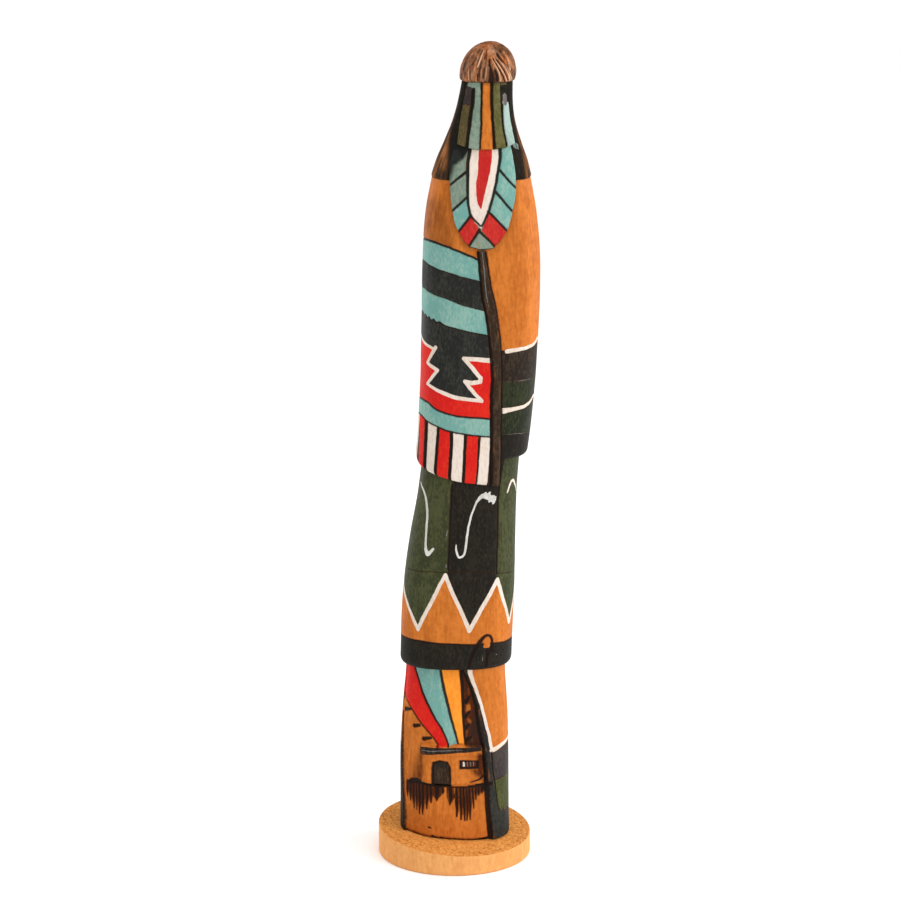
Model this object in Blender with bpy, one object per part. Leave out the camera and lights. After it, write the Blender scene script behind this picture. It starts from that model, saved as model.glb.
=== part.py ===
"""A slender figure carved from one cottonwood root, standing on a round cottonwood disc.

The figure is one loft, ring above ring, from the foot to the crown of the cap. Its rings are
flattened rounds on one leaning centre line, and their half width is stated separately for the
lower shaft, the skirt, the blanket and shoulders, the hair and the cap, so that each garment ends
in a ledge over the one below. What is carved proud of that form (face block, chest ornament,
robe border, robe, house) is a plate wrapped around it and joined to it by a union.

Tables and lengths are in millimetres and angles in degrees; points are made in metres.
An angle of 0 faces the front (-Y) and a positive angle turns towards +X.
"""

import math

import bmesh
import bpy
from mathutils import Vector

MM = 0.001

# ---------------------------------------------------------------- driving dimensions
DISC_DIAMETER = 59.8
DISC_THICKNESS = 10.4  # at the centre
DISC_SLOPE_X = -0.059  # the sawn top falls towards +X
DISC_SLOPE_Y = 0.068  # and towards the front
DISC_EDGE_ROUND = 0.7
DISC_SIDES = 80

FOOT_GAP = 0.3  # the figure and the disc are separate pieces
HEM_HEIGHT = 79.0
HAIR_ENDS = 269.3
CAP_RIM = 305.4
CAP_WIDEST = 308.0
FIGURE_HEIGHT = 320.0

RING_SIDES = 60
ROUNDNESS = 2.4  # superellipse power of every ring: 2 is an ellipse
BACK_DEPTH = 0.78  # depth of the back half, as a share of the half width

# The leaning centre line: height, sideways, forwards.
CENTRE_LINE = (
    (0, 0.1, -1.6),
    (45, 0.0, -1.5),
    (80, 0.5, -1.1),
    (102, 1.3, -1.0),
    (122, 2.5, -0.8),
    (147, 4.9, -0.4),
    (174, 7.6, -0.1),
    (198, 9.2, 0.0),
    (233, 10.1, 0.0),
    (268, 10.0, 0.0),
    (290, 10.9, 0.0),
    (306, 12.3, 0.0),
    (320, 13.3, 0.0),
)
# Depth of the front half, as a share of the half width.
FRONT_DEPTH = ((0, 0.7), (75, 0.7), (84, 0.73), (150, 0.74), (270, 0.76), (306, 0.88), (320, 0.9))

# Half widths: height, half width.
SHAFT = ((0, 21.6), (24, 21.3), (45, 21.2), (57, 20.7), (66, 20.1), (74, 19.5), (86, 19.1))
SKIRT = ((76, 21.7), (102, 21.7), (118, 21.1), (131, 20.2), (147, 19.0), (168, 18.4))
BLANKET = (
    (148, 21.2),
    (174, 21.7),
    (198, 22.1),
    (228, 22.5),
    (244, 22.0),
    (256, 20.9),
    (264, 19.6),
    (272, 18.0),
)
HAIR = ((266, 19.9), (275, 17.4), (282, 14.7), (290, 11.9), (297, 10.4), (308, 9.3))
CHEST_FORM = BLANKET[:-1] + HAIR[1:]
CAP_HALF_WIDTH = 10.6
CAP_FLUTE_DEPTH = 0.3

# Lower edge of the blanket round the figure: angle, height. The border hangs as low as the front
# panel, and right of it the other end of the blanket stops higher.
BLANKET_EDGE = ((-180, 161.5), (-90, 160.5), (-63, 158.2), (-40, 156.4), (0, 153.3), (30, 151.9))
BLANKET_EDGE_RIGHT = 162.3
BORDER_ENDS_AT = 31.0

# ---------------------------------------------------------------- carving on the form
RECESS = 2.0  # how far the scene on the lower shaft lies behind the robe
# How deep each plate reaches into the form: all differ, so that no two share a surface.
ROBE_SUNK, WALL_SUNK, ROOF_SUNK = 1.7, 2.1, 2.6
BORDER_SUNK, CHEST_SUNK, FACE_SUNK = 1.4, 2.3, 3.4

# Each plate: rows of height, left angle, right angle; then how proud it stands.
FACE_BLOCK = ((306.0, -46, 40), (300, -45, 43), (290, -39, 48), (281.0, -33, 45))
FACE_SIDE_LIFT = 2.0  # its lower edge rises towards both sides
FACE_RISE = 2.2
FACE_RISE_TOP = 0.6
CHEST = (
    (284, -38, 40),
    (275, -36, 40),
    (270, -34, 38),
    (262, -29, 34),
    (256, -25, 27),
    (251, -19, 21),
    (247, -14, 15),
    (244.5, -6, 7),
)
CHEST_RISE = 1.5
CHEST_RISE_TOP = 0.8  # where it passes under the face block
BORDER = (
    (248.3, -3, 1),
    (236, -1, 4),
    (225, 1, 9),
    (217, 4, 13),
    (207, 7, 17),
    (194, 10, 19),
    (178, 12, 22),
    (166, 15, 25),
    (152.2, 20, 30),
)
BORDER_RISE = 0.9
# The robe goes round the back, from its slanting front edge to the far edge on the left.
ROBE = ((84, 5, 272), (78, 8, 274), (68, 19, 280), (59, 25, 288), (48, 29, 288), (30, 37, 288), (4, 40, 288))
HOUSE_WALL = ((45.0, -30, 27), (32.4, -32, 32))
HOUSE_ROOF = ((47.0, -31, 26), (44.0, -31, 27))
HOUSE_RISE = 1.4
ROOF_RISE = 2.0
HOUSE_DOOR = ((41.6, -13, -7), (40.4, -17, -3), (32.0, -18, -2))
HOUSE_WINDOW = ((42.0, 5, 22), (38.9, 5, 23))
OPENING_DEPTH = 1.1


# ---------------------------------------------------------------- the form
def smooth(table, at, column=1):
    """The table's column at this height, on a smooth curve through its rows."""
    rows = sorted(table)
    if at <= rows[0][0]:
        return rows[0][column]
    if at >= rows[-1][0]:
        return rows[-1][column]
    upper = next(i for i, row in enumerate(rows) if row[0] >= at)
    low, high = rows[upper - 1], rows[upper]
    span = high[0] - low[0]

    def slope(i):
        below, above = rows[max(i - 1, 0)], rows[min(i + 1, len(rows) - 1)]
        return (above[column] - below[column]) / (above[0] - below[0])

    t = (at - low[0]) / span
    from_low = (2 * t**3 - 3 * t**2 + 1) * low[column] + (t**3 - 2 * t**2 + t) * span * slope(upper - 1)
    from_high = (3 * t**2 - 2 * t**3) * high[column] + (t**3 - t**2) * span * slope(upper)
    return from_low + from_high


def straight(table, at, column=1):
    """The table's column at this height, on straight lines between its rows."""
    rows = sorted(table)
    at = min(max(at, rows[0][0]), rows[-1][0])
    upper = next(i for i in range(1, len(rows)) if rows[i][0] >= at)
    low, high = rows[upper - 1], rows[upper]
    share = (at - low[0]) / (high[0] - low[0])
    return low[column] + share * (high[column] - low[column])


def round_power(value):
    return math.copysign(abs(value) ** (2 / ROUNDNESS), value)


def on_form(half_width, angle, height):
    """The point of the form at this angle and height, where the figure is this wide."""
    turn = math.radians(angle)
    towards_front = math.cos(turn)
    depth = half_width * (smooth(FRONT_DEPTH, height) if towards_front > 0 else BACK_DEPTH)
    x = smooth(CENTRE_LINE, height, 1) + half_width * round_power(math.sin(turn))
    y = smooth(CENTRE_LINE, height, 2) - depth * round_power(towards_front)
    return Vector((x, y, height)) * MM


def blanket_edge(angle):
    """Height of the blanket's lower edge at this angle."""
    if BORDER_ENDS_AT < angle <= 180:
        return BLANKET_EDGE_RIGHT
    return smooth(BLANKET_EDGE, angle)


def angles():
    return [360 * side / RING_SIDES - 180 for side in range(1, RING_SIDES + 1)]


def ring(widths, height_at, inwards=0.0):
    """One ring of the loft. height_at gives the height at an angle."""
    points = []
    for angle in angles():
        height = height_at(angle)
        points.append(on_form(smooth(widths, height) - inwards, angle, height))
    return points


def level(height):
    return lambda angle: height


def between(low, high, share):
    return lambda angle: low(angle) + share * (high(angle) - low(angle))


def raised(line, by):
    return lambda angle: line(angle) + by


def shaft_rings():
    steps = 9
    low, high = level(4.0), level(HEM_HEIGHT + 0.4)
    return [ring(SHAFT, between(low, high, i / steps), RECESS) for i in range(steps + 1)]


def skirt_rings():
    """From the hem's chamfered lower edge up to just under the blanket."""
    hem = level(HEM_HEIGHT)
    rings = [ring(SKIRT, hem, 1.7), ring(SKIRT, raised(hem, 0.9), 0.5), ring(SKIRT, raised(hem, 2.2))]
    steps = 8
    top = raised(blanket_edge, 0.4)
    return rings + [ring(SKIRT, between(raised(hem, 2.2), top, i / steps)) for i in range(1, steps + 1)]


def blanket_rings():
    """From the blanket's rounded lower edge up to the shoulders."""
    edge = blanket_edge
    rings = [ring(BLANKET, edge, 1.6), ring(BLANKET, raised(edge, 0.6), 0.5), ring(BLANKET, raised(edge, 2.0))]
    steps = 17
    top = level(HAIR_ENDS - 0.3)
    return rings + [ring(BLANKET, between(raised(edge, 2.0), top, i / steps)) for i in range(1, steps + 1)]


def hair_rings():
    low, high = level(HAIR_ENDS), level(CAP_RIM)
    steps = 7
    return [ring(HAIR, between(low, high, i / steps)) for i in range(steps + 1)]


def cap_ring(height, half_width, flute):
    """A ring of the cap, where every second point is cut in by the depth of a flute."""
    points = []
    for side, angle in enumerate(angles()):
        cut = flute if side % 2 else 0.0
        points.append(on_form(half_width - cut, angle, height))
    return points


def cap_rings():
    """Rounded rim, then a fluted half egg up to a small round at the crown."""
    rings = [cap_ring(CAP_RIM, CAP_HALF_WIDTH - 1.0, 0), cap_ring(CAP_RIM + 1.0, CAP_HALF_WIDTH - 0.2, CAP_FLUTE_DEPTH)]
    steps = 7
    rise = FIGURE_HEIGHT - CAP_WIDEST
    for i in range(steps):
        climb = math.radians(86 * i / (steps - 1))
        flute = CAP_FLUTE_DEPTH * math.cos(climb)
        half_width = CAP_HALF_WIDTH * math.cos(climb)
        rings.append(cap_ring(CAP_WIDEST + rise * math.sin(climb), half_width, flute))
    return rings


# ---------------------------------------------------------------- making solids
def loft(name, rings, collection):
    """A closed solid through rings of equally many points, with a flat face at both ends."""
    shape = bmesh.new()
    made = [[shape.verts.new(point) for point in points] for points in rings]
    for lower, upper in zip(made, made[1:]):
        for i in range(len(lower)):
            j = (i + 1) % len(lower)
            shape.faces.new((lower[i], lower[j], upper[j], upper[i]))
    shape.faces.new(reversed(made[0]))
    shape.faces.new(made[-1])
    bmesh.ops.recalc_face_normals(shape, faces=shape.faces[:])
    mesh = bpy.data.meshes.new(name)
    shape.to_mesh(mesh)
    shape.free()
    solid = bpy.data.objects.new(name, mesh)
    collection.objects.link(solid)
    return solid


def spread(rows, most_tall):
    """Heights from the table's top to its bottom, its own rows among them, no further apart than this."""
    heights = []
    for upper, lower in zip(rows, rows[1:]):
        steps = max(1, math.ceil((upper[0] - lower[0]) / most_tall))
        heights += [upper[0] + (lower[0] - upper[0]) * i / steps for i in range(steps)]
    return heights + [rows[-1][0]]


def wrapped_plate(name, widths, rows, rise, sunk, collection, most_tall=6.0, most_wide=9.0, lift=0.0):
    """A plate that follows the form between a left and a right edge.

    widths is the half-width table it lies on. rise is how proud it stands, as a number or as a
    function of the height, and sunk how deep it reaches. lift raises its side edges over its
    middle, most at the bottom.
    """
    rise_at = rise if callable(rise) else lambda height: rise
    widest = max(right - left for _, left, right in rows)
    columns = max(2, math.ceil(widest / most_wide))
    top, bottom = rows[0][0], rows[-1][0]
    rings = []
    for height in spread(rows, most_tall):
        left, right = straight(rows, height, 1), straight(rows, height, 2)
        share_down = (top - height) / (top - bottom)
        outer, inner = [], []
        for column in range(columns + 1):
            share = column / columns
            angle = left + share * (right - left)
            at = height + lift * share_down * (2 * share - 1) ** 2
            half_width = smooth(widths, at)
            outer.append(on_form(half_width + rise_at(height), angle, at))
            inner.append(on_form(half_width - sunk, angle, at))
        rings.append(outer + inner[::-1])
    return loft(name, rings, collection)


def growing(rows, at_top, at_bottom):
    """How proud a plate stands, changing evenly from the table's top row to its bottom row."""
    top, bottom = rows[0][0], rows[-1][0]
    return lambda height: at_top + (at_bottom - at_top) * (top - height) / (top - bottom)


def combine(solid, tool, operation):
    """Joins a tool to the solid, or cuts it out of it, and keeps the tool out of the model."""
    step = solid.modifiers.new(tool.name, "BOOLEAN")
    step.operation = operation
    step.object = tool
    step.solver = "EXACT"
    tool.hide_render = True
    tool.display_type = "WIRE"


def smooth_shading(solid, sharper_than=35):
    solid.data.shade_smooth()
    solid.data.set_sharp_from_angle(angle=math.radians(sharper_than))


def wood(name, colour, roughness):
    material = bpy.data.materials.new(name)
    material.use_nodes = True
    shader = material.node_tree.nodes["Principled BSDF"]
    shader.inputs["Base Color"].default_value = (*colour, 1.0)
    shader.inputs["Roughness"].default_value = roughness
    shader.inputs["Metallic"].default_value = 0.0
    return material


# ---------------------------------------------------------------- the pieces
def disc_top(x, y):
    """Height of the disc's sloping sawn top."""
    return DISC_THICKNESS + DISC_SLOPE_X * x + DISC_SLOPE_Y * y


def round_base(parts):
    shape = bmesh.new()
    bmesh.ops.create_cone(
        shape,
        cap_ends=True,
        segments=DISC_SIDES,
        radius1=DISC_DIAMETER / 2 * MM,
        radius2=DISC_DIAMETER / 2 * MM,
        depth=DISC_THICKNESS * MM,
    )
    bmesh.ops.translate(shape, verts=shape.verts[:], vec=(0, 0, DISC_THICKNESS / 2 * MM))
    for vert in shape.verts:
        if vert.co.z > DISC_THICKNESS / 2 * MM:
            vert.co.z = disc_top(vert.co.x / MM, vert.co.y / MM) * MM
    foot = [edge for edge in shape.edges if max(vert.co.z for vert in edge.verts) < 0.1 * MM]
    bmesh.ops.bevel(
        shape, geom=foot, offset=DISC_EDGE_ROUND * MM, segments=3, profile=0.5, affect="EDGES", material=-1
    )
    mesh = bpy.data.meshes.new("round_base")
    shape.to_mesh(mesh)
    shape.free()
    disc = bpy.data.objects.new("round_base", mesh)
    disc.data.materials.append(wood("pale_cottonwood", (0.72, 0.42, 0.19), 0.8))
    smooth_shading(disc)
    parts.objects.link(disc)
    return disc


def foot_cutter(cutters):
    """A block whose sloping top, just over the disc, cuts the foot to fit it."""
    side, tall = 2 * DISC_DIAMETER, 40.0
    shape = bmesh.new()
    bmesh.ops.create_cube(shape, size=1.0)
    for vert in shape.verts:
        x, y = vert.co.x * side, vert.co.y * side
        z = disc_top(x, y) + FOOT_GAP if vert.co.z > 0 else -tall
        vert.co = Vector((x, y, z)) * MM
    mesh = bpy.data.meshes.new("foot_cut")
    shape.to_mesh(mesh)
    shape.free()
    block = bpy.data.objects.new("foot_cut", mesh)
    cutters.objects.link(block)
    return block


def carved_figure(parts, cutters):
    rings = shaft_rings() + skirt_rings() + blanket_rings() + hair_rings() + cap_rings()
    figure = loft("carved_figure", rings, parts)
    scene = tuple((height, width - RECESS) for height, width in SHAFT)
    chest_rise = growing(CHEST, CHEST_RISE_TOP, CHEST_RISE)
    face_rise = growing(FACE_BLOCK, FACE_RISE_TOP, FACE_RISE)
    proud = [
        wrapped_plate("robe", scene, ROBE, RECESS, ROBE_SUNK, cutters, most_tall=10),
        wrapped_plate("house_wall", scene, HOUSE_WALL, HOUSE_RISE, WALL_SUNK, cutters),
        wrapped_plate("house_roof", scene, HOUSE_ROOF, ROOF_RISE, ROOF_SUNK, cutters),
        wrapped_plate("robe_border", BLANKET, BORDER, BORDER_RISE, BORDER_SUNK, cutters),
        wrapped_plate("chest_ornament", CHEST_FORM, CHEST, chest_rise, CHEST_SUNK, cutters, most_tall=3),
        wrapped_plate("face_block", HAIR, FACE_BLOCK, face_rise, FACE_SUNK, cutters, lift=FACE_SIDE_LIFT),
    ]
    for plate in proud:
        combine(figure, plate, "UNION")
    for name, rows in (("house_door", HOUSE_DOOR), ("house_window", HOUSE_WINDOW)):
        opening = wrapped_plate(name, scene, rows, HOUSE_RISE + 2, OPENING_DEPTH - HOUSE_RISE, cutters)
        combine(figure, opening, "DIFFERENCE")
    combine(figure, foot_cutter(cutters), "DIFFERENCE")
    figure.data.materials.append(wood("stained_painted_root", (0.62, 0.24, 0.07), 0.62))
    smooth_shading(figure)
    return figure


def collection(name, hidden):
    made = bpy.data.collections.new(name)
    made.hide_render = hidden
    bpy.context.scene.collection.children.link(made)
    return made


def main():
    for leftover in list(bpy.data.objects):
        bpy.data.objects.remove(leftover, do_unlink=True)
    parts = collection("kachina_doll", hidden=False)
    cutters = collection("plates_and_cutters", hidden=True)
    round_base(parts)
    carved_figure(parts, cutters)


main()
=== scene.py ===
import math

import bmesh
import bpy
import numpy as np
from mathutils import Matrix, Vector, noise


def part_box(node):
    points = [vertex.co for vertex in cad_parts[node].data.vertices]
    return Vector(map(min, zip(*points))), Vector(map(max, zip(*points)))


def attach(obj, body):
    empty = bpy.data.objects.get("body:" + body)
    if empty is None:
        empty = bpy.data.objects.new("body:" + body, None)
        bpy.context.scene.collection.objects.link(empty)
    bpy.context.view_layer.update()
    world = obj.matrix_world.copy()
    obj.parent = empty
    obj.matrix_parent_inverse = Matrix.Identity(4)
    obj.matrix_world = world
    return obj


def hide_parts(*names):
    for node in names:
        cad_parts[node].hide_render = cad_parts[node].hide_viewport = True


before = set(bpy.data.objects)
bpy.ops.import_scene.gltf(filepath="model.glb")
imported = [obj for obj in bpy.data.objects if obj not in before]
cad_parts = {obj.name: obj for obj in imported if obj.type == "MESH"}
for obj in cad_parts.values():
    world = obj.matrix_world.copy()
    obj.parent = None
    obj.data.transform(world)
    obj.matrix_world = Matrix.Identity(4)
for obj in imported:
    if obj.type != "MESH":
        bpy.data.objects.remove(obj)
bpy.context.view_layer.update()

# The looks of a carved and painted cottonwood figure on its round base: the finely carved surface
# of the root, its paints, stains and burnt lines, and the porous sawn disc it stands on.
#
# Lengths on the figure are in millimetres and angles in degrees until points are made in metres.
# An angle of 0 faces the front (-Y) and a positive angle turns towards +X. A place on the figure
# is given as (angle, height), and distances are measured on its unrolled surface.

MM = 0.001

# ---------------------------------------------------------------- camera, light, floor
CAMERA_AT = (-0.00175, -1.2157, 0.4569)
CAMERA_PITCH = 13.6  # degrees below the horizon
LENS, SENSOR = 130.0, 36.0
FLOOR_SIZE = 14.0
FIGURE_MIDDLE = Vector((0, 0, 0.16))
# Each lamp's place and size in metres, and its power in watts.
LAMPS = {
    "key_from_right": ((0.95, -0.75, 0.6), 0.5, 4.2),
    "edge_from_right": ((0.9, 0.28, 0.3), 0.35, 3.8),
    "edge_from_left": ((-0.72, 0.6, 0.3), 0.35, 2.9),
}
SKY_FROM, SKY_POWER, SKY_SPREAD = (0.1, -0.25, 1.0), 1.85, 70.0
ROOM_BRIGHTNESS = 0.5


def camera():
    made = bpy.data.objects.new("camera", bpy.data.cameras.new("camera"))
    made.data.lens = LENS
    made.data.sensor_width = SENSOR
    made.location = CAMERA_AT
    made.rotation_euler = (math.radians(90 - CAMERA_PITCH), 0, 0)
    bpy.context.scene.collection.objects.link(made)
    bpy.context.scene.camera = made


def soft_light(name, at, size, power):
    """A square lamp turned to the middle of the figure."""
    lamp = bpy.data.lights.new(name, "AREA")
    lamp.shape = "SQUARE"
    lamp.size = size
    lamp.energy = power
    made = bpy.data.objects.new(name, lamp)
    aim = (FIGURE_MIDDLE - Vector(at)).to_track_quat("-Z", "Y")
    made.matrix_world = Matrix.Translation(at) @ aim.to_matrix().to_4x4()
    bpy.context.scene.collection.objects.link(made)


def wide_sky():
    """An even light on the whole floor, from a wide patch of sky."""
    lamp = bpy.data.lights.new("overhead", "SUN")
    lamp.energy = SKY_POWER
    lamp.angle = math.radians(SKY_SPREAD)
    made = bpy.data.objects.new("overhead", lamp)
    made.matrix_world = Vector(SKY_FROM).to_track_quat("Z", "Y").to_matrix().to_4x4()
    bpy.context.scene.collection.objects.link(made)


def studio():
    scene = bpy.context.scene
    scene.view_settings.view_transform = "Standard"
    world = bpy.data.worlds.new("white_studio")
    world.use_nodes = True
    background = world.node_tree.nodes["Background"].inputs
    background["Color"].default_value = (1.0, 1.0, 1.0, 1)
    background["Strength"].default_value = ROOM_BRIGHTNESS
    scene.world = world
    for name, (at, size, power) in LAMPS.items():
        soft_light(name, at, size, power)
    wide_sky()
    shape = bmesh.new()
    bmesh.ops.create_grid(shape, x_segments=1, y_segments=1, size=FLOOR_SIZE / 2)
    floor = as_object("studio_floor", shape)
    shader, _ = new_material(floor, "pale_floor", (0.97, 0.97, 0.965), 0.9)
    shader.inputs["Specular IOR Level"].default_value = 0.1


# ---------------------------------------------------------------- making objects and materials
def as_object(name, shape):
    mesh = bpy.data.meshes.new(name)
    shape.to_mesh(mesh)
    shape.free()
    made = bpy.data.objects.new(name, mesh)
    bpy.context.scene.collection.objects.link(made)
    return made


def new_material(piece, name, colour, roughness):
    """A Principled material on the piece. Gives its shader and its tree."""
    material = bpy.data.materials.new(name)
    material.use_nodes = True
    shader = material.node_tree.nodes["Principled BSDF"]
    shader.inputs["Base Color"].default_value = (*colour, 1)
    shader.inputs["Roughness"].default_value = roughness
    piece.data.materials.clear()
    piece.data.materials.append(material)
    return shader, material.node_tree


def node(tree, kind, inputs=None, **settings):
    """A node with its inputs given as values or as the sockets that feed them."""
    made = tree.nodes.new("ShaderNode" + kind)
    for name, value in settings.items():
        setattr(made, name, value)
    for name, value in (inputs or {}).items():
        socket = made.inputs[name]
        if isinstance(value, bpy.types.NodeSocket):
            tree.links.new(value, socket)
        elif socket.type == "RGBA":
            socket.default_value = (*value, 1)
        else:
            socket.default_value = value
    return made


def mix(tree, share, first, second):
    """The first colour with this share of the second."""
    return node(tree, "Mix", {0: share, 6: first, 7: second}, data_type="RGBA").outputs[2]


def calculate(tree, operation, first, second, clamp=False):
    return node(tree, "Math", {0: first, 1: second}, operation=operation, use_clamp=clamp).outputs[0]


def times(tree, value, *others):
    for other in others:
        value = calculate(tree, "MULTIPLY", value, other)
    return value


def weighed(tree, *parts):
    """The sum of values, each times its share."""
    total, *more = [times(tree, value, share) for value, share in parts]
    for part in more:
        total = calculate(tree, "ADD", total, part)
    return total


def ramp(tree, value, low, high, out_low=0.0, out_high=1.0):
    """A smooth step of the value from out_low at low to out_high at high."""
    ends = {"Value": value, "From Min": low, "From Max": high, "To Min": out_low, "To Max": out_high}
    return node(tree, "MapRange", ends, interpolation_type="SMOOTHSTEP").outputs["Result"]


def stretched_noise(tree, scale, stretch, detail, roughness):
    """Noise on the object's own coordinates, where a small stretch value draws it out along that axis."""
    at = node(tree, "TexCoord").outputs["Object"]
    at = node(tree, "Mapping", {"Vector": at, "Scale": stretch}).outputs["Vector"]
    inputs = {"Vector": at, "Scale": scale, "Detail": detail, "Roughness": roughness}
    return node(tree, "TexNoise", inputs).outputs["Fac"]


def group(name, inputs, outputs, build):
    """A shader node group. build gets its tree and input sockets, and returns the output sockets."""
    tree = bpy.data.node_groups.new(name, "ShaderNodeTree")
    for socket, kind, value in inputs:
        made = tree.interface.new_socket(name=socket, in_out="INPUT", socket_type=kind)
        made.default_value = value
    for socket, kind in outputs:
        tree.interface.new_socket(name=socket, in_out="OUTPUT", socket_type=kind)
    entry, leave = tree.nodes.new("NodeGroupInput"), tree.nodes.new("NodeGroupOutput")
    for socket, result in build(tree, entry.outputs).items():
        tree.links.new(result, leave.inputs[socket])
    return tree


def placed(tree, made_group, inputs):
    """The outputs of a group placed in this tree, with these values or sockets on its inputs."""
    return node(tree, "Group", inputs, node_tree=made_group).outputs


# ---------------------------------------------------------------- shared effects
def build_wood_grain(tree, given):
    """Fibres drawn out along the root, with a fine mottle and broader, softer streaks."""
    fibre = stretched_noise(tree, 1000, (1, 1, 0.16), 3, 0.7)
    streak = stretched_noise(tree, 190, (1, 1, 0.16), 3, 0.55)
    mottle = stretched_noise(tree, 620, (1, 1, 0.7), 3, 0.7)
    fine = weighed(tree, (fibre, 0.5), (mottle, 0.5))
    tone = weighed(tree, (fine, 0.65), (streak, 0.35))
    tone = ramp(tree, tone, 0.36, 0.62)
    colour = mix(tree, tone, given["Dark"], given["Light"])
    deep = mix(tree, 0.5, given["Dark"], (0.0, 0.0, 0.0))
    pores = ramp(tree, stretched_noise(tree, 950, (1, 1, 0.22), 2, 0.5), 0.67, 0.76, 0.0, 0.5)
    colour = mix(tree, pores, colour, deep)
    cloud = ramp(tree, stretched_noise(tree, 60, (1, 1, 0.6), 3, 0.5), 0.35, 0.7, 0.0, 0.22)
    colour = mix(tree, cloud, colour, given["Dark"])
    height = calculate(tree, "SUBTRACT", fine, times(tree, pores, 1.2))
    return {"Colour": colour, "Height": height}


def build_brush(tree, given):
    """The unevenness that every coat shares: brush streaks, thin patches, specks and ragged edges."""
    streak = stretched_noise(tree, 420, (1, 1, 0.3), 3, 0.65)
    patch = stretched_noise(tree, 110, (1, 1, 0.6), 4, 0.62)
    speck = stretched_noise(tree, 1500, (1, 1, 0.4), 2, 0.6)
    ragged = calculate(tree, "SUBTRACT", stretched_noise(tree, 1100, (1, 1, 1), 3, 0.6), 0.5)
    return {"Streak": streak, "Patch": patch, "Speck": speck, "Ragged": ragged}


def build_coat(tree, given):
    """One thin matt coat over what lies under it. Distance is how far inside the painted field, in mm."""
    uneven = weighed(tree, (given["Patch"], 0.4), (given["Streak"], 0.25), (given["Speck"], 0.45))
    thin = times(tree, ramp(tree, uneven, 0.49, 0.63), given["Variation"])
    colour = mix(tree, thin, given["Colour"], given["Thin"])
    inside = calculate(tree, "ADD", given["Distance"], times(tree, given["Ragged"], 0.3))
    here = ramp(tree, inside, -0.07, 0.07)
    gap = times(tree, ramp(tree, given["Speck"], 0.6, 0.74), given["Gaps"])
    bare = calculate(tree, "MAXIMUM", gap, given["Worn"])
    mask = times(tree, here, calculate(tree, "SUBTRACT", 1.0, bare))
    return {"Colour": mix(tree, mask, given["Under"], colour), "Mask": mask}


def build_burnt_line(tree, given):
    """A line burnt in with a hot point: black in the middle, with a brown scorched rim."""
    inside = calculate(tree, "ADD", given["Distance"], times(tree, given["Ragged"], 0.4))
    rim = ramp(tree, inside, -0.42, 0.1, 0.0, 0.5)
    core = ramp(tree, inside, -0.16, 0.18, 0.0, 0.95)
    return {"Rim": rim, "Core": core}


COLOUR, VALUE = "NodeSocketColor", "NodeSocketFloat"
WOOD_GRAIN = group(
    "wood_grain",
    [("Light", COLOUR, (1, 1, 1, 1)), ("Dark", COLOUR, (0, 0, 0, 1))],
    [("Colour", COLOUR), ("Height", VALUE)],
    build_wood_grain,
)
BRUSH = group("brush", [], [(name, VALUE) for name in ("Streak", "Patch", "Speck", "Ragged")], build_brush)
COAT = group(
    "coat_of_paint",
    [("Under", COLOUR, (1, 1, 1, 1)), ("Colour", COLOUR, (1, 1, 1, 1)), ("Thin", COLOUR, (1, 1, 1, 1))]
    + [(name, VALUE, 0.0) for name in ("Distance", "Variation", "Gaps", "Worn", "Streak", "Patch", "Speck",
                                       "Ragged")],
    [("Colour", COLOUR), ("Mask", VALUE)],
    build_coat,
)
BURNT_LINE = group(
    "burnt_line", [("Distance", VALUE, 0.0), ("Ragged", VALUE, 0.0)], [("Rim", VALUE), ("Core", VALUE)],
    build_burnt_line
)

# ---------------------------------------------------------------- the figure's form
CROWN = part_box("carved_figure")[1].z / MM
DISC_LOW, DISC_HIGH = (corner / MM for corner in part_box("round_base"))

HEM_HEIGHT = 79.0
HEM_TOP = 90.0
SKIRT_LEVEL_TO, BLANKET_LEVEL_FROM = 149.0, 167.0  # between them the rings tilt with the blanket's edge
BLANKET_FOOT = 157.0
HAIR_ENDS = 269.3
CAP_RIM = 305.4
HAIR_TOP = CAP_RIM + 0.5
CAP_WIDEST = 308.0
CAP_CENTRE_HEIGHT = 310.0
SWAY = 0.9  # how far locks of hair bend to and fro, in locks
PARTING_LEAN = 34  # how far forward of the crown the cap's strands part
RECESS = 2.0  # how far the scene on the lower shaft lies behind the robe
ANKLE = 10  # the foot's outline is the shaft's at this height
FOOT_GAP = 0.3
DISC_TOP, DISC_TOP_SLOPES = 10.4, (-0.059, 0.068)
ROUNDNESS = 2.4  # superellipse power of every ring
FOOT_DEPTH, RING_DEPTH, BACK_DEPTH = 0.74, 0.76, 0.78
BACK_SEAM = 150.0  # the unrolled surface is parted here, behind the right shoulder

CENTRE_LINE = (
    (0, 0.1, -1.6), (45, 0.0, -1.5), (80, 0.5, -1.1), (102, 1.3, -1.0), (122, 2.5, -0.8), (147, 4.9, -0.4),
    (174, 7.6, -0.1), (198, 9.2, 0.0), (233, 10.1, 0.0), (268, 10.0, 0.0), (290, 10.9, 0.0), (306, 12.3, 0.0),
    (320, 13.3, 0.0),
)
FRONT_DEPTH = ((0, 0.7), (75, 0.7), (84, 0.73), (150, 0.74), (270, 0.76), (306, 0.88), (320, 0.9))
SHAFT = ((0, 21.6), (24, 21.3), (45, 21.2), (57, 20.7), (66, 20.1), (74, 19.5), (86, 19.1))
SKIRT = ((76, 21.7), (102, 21.7), (118, 21.1), (131, 20.2), (147, 19.0), (168, 18.4))
BLANKET = (
    (148, 21.2), (174, 21.7), (198, 22.1), (228, 22.5), (244, 22.0), (256, 20.9), (264, 19.6), (272, 18.0),
)
HAIR = ((266, 19.9), (275, 17.4), (282, 14.7), (290, 11.9), (297, 10.4), (308, 9.3))
CHEST_FORM = BLANKET[:-1] + HAIR[1:]
CAP_HALF_WIDTH = 10.6
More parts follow.
